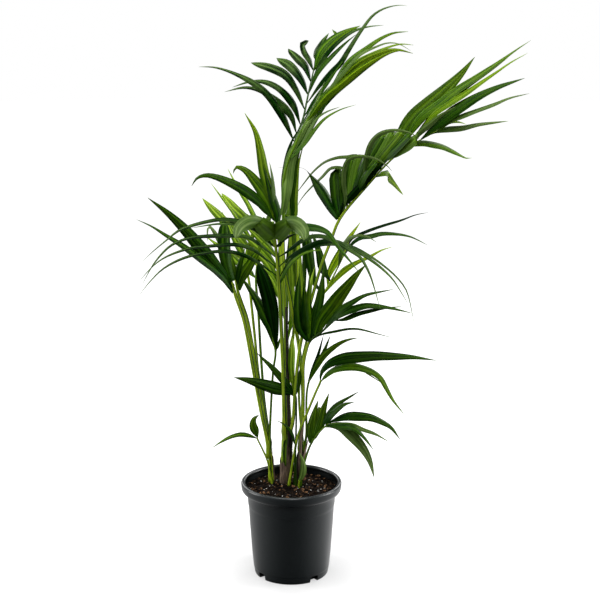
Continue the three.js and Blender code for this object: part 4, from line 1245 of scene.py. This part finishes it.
def make_mix():
    bm = new_bmesh()
    top = [(SOIL_RIM * i / SOIL_RINGS, SOIL_TOP) for i in range(SOIL_RINGS + 1)]
    spun(bm, top + SOIL_SIDE, SOIL_STEPS)
    for vert in bm.verts:
        if vert.co.z > (SOIL_TOP - 0.5) * MM:
            x, y = vert.co.x / MM, vert.co.y / MM
            calm = min(1, (SOIL_RIM - math.hypot(x, y)) / 6)
            vert.co.z = mixed(SOIL_TOP, mix_height(x, y), max(0, calm)) * MM
    return finished(bm, "potting_mix", ["soil"], ["soil"])


def scatter(draw, count, reach):
    """Places spread evenly over the mix."""
    for _ in range(count):
        radius = reach * math.sqrt(draw.random())
        bearing = draw.uniform(0, math.tau)
        yield radius * math.cos(bearing), radius * math.sin(bearing)


def lay_bit(bm, draw, spot, size, detail, slot):
    """One crumb: a low ball knocked out of round, turned and half sunk in the mix."""
    made = bmesh.ops.create_icosphere(bm, subdivisions=detail, radius=0.5)["verts"]
    for vert in made:
        vert.co *= 1 + 0.6 * noise.noise(vert.co * 3 + Vector((*spot, 0)))
    bmesh.ops.scale(bm, vec=[side * MM for side in size], verts=made)
    tilt = Matrix.Rotation(draw.uniform(-0.5, 0.5), 4, "X") @ Matrix.Rotation(draw.uniform(-0.4, 0.4), 4, "Y")
    bmesh.ops.transform(bm, matrix=Matrix.Rotation(draw.uniform(0, math.tau), 4, "Z") @ tilt, verts=made)
    height = mix_height(*spot) + min(size) * 0.35
    bmesh.ops.translate(bm, vec=Vector((*spot, height)) * MM, verts=made)
    for face in {face for vert in made for face in vert.link_faces}:
        face.material_index = slot
        face.smooth = detail > 1


def make_bits():
    """Bark chips and crumbs, then the white grains of perlite."""
    draw = random.Random(SEED + 2)
    bm = new_bmesh()
    for spot in scatter(draw, CHIPS, CHIPS_REACH):
        kind = draw.choices(range(len(CHIP_KINDS)), CHIP_SHARES)[0]
        long = [draw.uniform(*lengths) for lengths in CHIP_LENGTHS][kind]
        size = (long, long * draw.uniform(0.45, 0.8), long * draw.uniform(0.4, 0.65))
        lay_bit(bm, draw, spot, size, 1, kind)
    finished(bm, "bark_chips", CHIP_KINDS, [])
    bm = new_bmesh()
    for spot in scatter(draw, GRAINS, GRAINS_REACH):
        across = draw.uniform(*GRAIN_WIDTHS)
        lay_bit(bm, draw, spot, (across, across * 0.85, across * 0.8), 2, 0)
    finished(bm, "perlite_grains", ["perlite"], [])


make_mix()
make_bits()


# ---- Floor, backdrop and light -----------------------------------------------------------------------

FLOOR_RADIUS = 9  # in metres, as all sizes in this section are
FLOOR_GLOW = 0.56  # glow of the paper under the plant, where 1 is white; lower than the rest, partly painted shade round the foot
GLOW_REACH = (0.08, 0.3)  # distances from the pot's axis where the glow starts to rise, and is full
ROOM_LIGHT = 0.16  # strength of the white room as the plant sees it


def stage_finish():
    """White paper that glows enough to meet the white room without a line.

    For glossy rays it glows as a painted reflection in the pot: dark in front of the plant, bright behind it,
    and brighter on the right.
    """
    paper = Finish("white_paper", 1, 0)
    paper.surface.inputs["Emission Color"].default_value = (1, 1, 1, 1)
    away = paper.tree.nodes.new("ShaderNodeVectorMath")
    away.operation = "LENGTH"
    paper.link(paper.places.outputs["Object"], away.inputs[0])
    spot = paper.tree.nodes.new("ShaderNodeSeparateXYZ")
    paper.link(paper.places.outputs["Object"], spot.inputs["Vector"])
    path = paper.tree.nodes.new("ShaderNodeLightPath")
    # The camera's glow is lower round the pot's foot, so the paper greys there: partly the real shadow,
    # partly painted shade.
    seen = paper.span(away.outputs["Value"], FLOOR_GLOW, 1, *GLOW_REACH)
    behind = paper.maths("DIVIDE", spot.outputs["Y"], away.outputs["Value"])
    aside = paper.maths("DIVIDE", spot.outputs["X"], away.outputs["Value"])
    # Painted reflection: glossy rays see the paper glow by its direction from the pot.
    mirrored = paper.maths("MULTIPLY", paper.span(behind, 0, 1.15, -0.95, 0.3),
                           paper.span(aside, 0.6, 1, -0.4, 0.4))
    glow = paper.maths("ADD", paper.maths("MULTIPLY", seen, path.outputs["Is Camera Ray"]),
                       paper.maths("MULTIPLY", mirrored, path.outputs["Is Glossy Ray"]))
    paper.set(paper.surface, "Emission Strength", glow)
    # For glossy rays the paper itself is near black, so only the painted reflection shows in the pot.
    paper.colour(paper.mixed(path.outputs["Is Glossy Ray"], (0.3, 0.3, 0.3, 1), (0.01, 0.01, 0.01, 1)))
    return paper.material


def make_floor():
    bm = bmesh.new()
    bmesh.ops.create_circle(bm, cap_ends=True, segments=96, radius=FLOOR_RADIUS)
    mesh = bpy.data.meshes.new("floor")
    bm.to_mesh(mesh)
    bm.free()
    mesh.materials.append(stage_finish())
    floor = bpy.data.objects.new("floor", mesh)
    scene.collection.objects.link(floor)


def add_softbox(name, spot, aim, size, power):
    light = bpy.data.lights.new(name, "AREA")
    light.shape = "RECTANGLE"
    light.size, light.size_y = size
    light.energy = power
    lamp = bpy.data.objects.new(name, light)
    lamp.location = spot
    lamp.rotation_euler = (Vector(aim) - Vector(spot)).to_track_quat("-Z", "Y").to_euler()
    scene.collection.objects.link(lamp)


def light_scene():
    """A white room that the camera sees, a dimmer one that lights, and soft boxes round the plant."""
    world = bpy.data.worlds.new("white_room")
    scene.world = world
    world.use_nodes = True
    tree = world.node_tree
    tree.nodes.clear()
    path = tree.nodes.new("ShaderNodeLightPath")
    seen = tree.nodes.new("ShaderNodeBackground")
    seen.inputs["Color"].default_value = (1, 1, 1, 1)
    seen.inputs["Strength"].default_value = 1.0
    lit = tree.nodes.new("ShaderNodeBackground")
    lit.inputs["Color"].default_value = (1, 1, 1, 1)
    lit.inputs["Strength"].default_value = ROOM_LIGHT
    mix = tree.nodes.new("ShaderNodeMixShader")
    out = tree.nodes.new("ShaderNodeOutputWorld")
    tree.links.new(path.outputs["Is Camera Ray"], mix.inputs["Fac"])
    tree.links.new(lit.outputs["Background"], mix.inputs[1])
    tree.links.new(seen.outputs["Background"], mix.inputs[2])
    tree.links.new(mix.outputs["Shader"], out.inputs["Surface"])
    add_softbox("top_box", (0, -0.3, 3.0), (0, 0, 0.7), (2.2, 1.8), 70)
    add_softbox("front_box", (0.5, -2.8, 3.0), (0, 0, 0.8), (1.4, 1.2), 34)
    add_softbox("left_box", (-2.3, 0.15, 1.1), (0, 0, 0.7), (0.8, 2.2), 44)
    add_softbox("right_box", (2.3, 0.1, 1.1), (0, 0, 0.7), (0.8, 2.2), 52)
    add_softbox("back_left_box", (-1.3, 2.2, 1.7), (0, 0, 0.8), (1.2, 1.6), 30)
    add_softbox("back_right_box", (1.3, 2.2, 1.7), (0, 0, 0.8), (1.2, 1.6), 30)
    scene.view_settings.view_transform = "Standard"


make_floor()
light_scene()
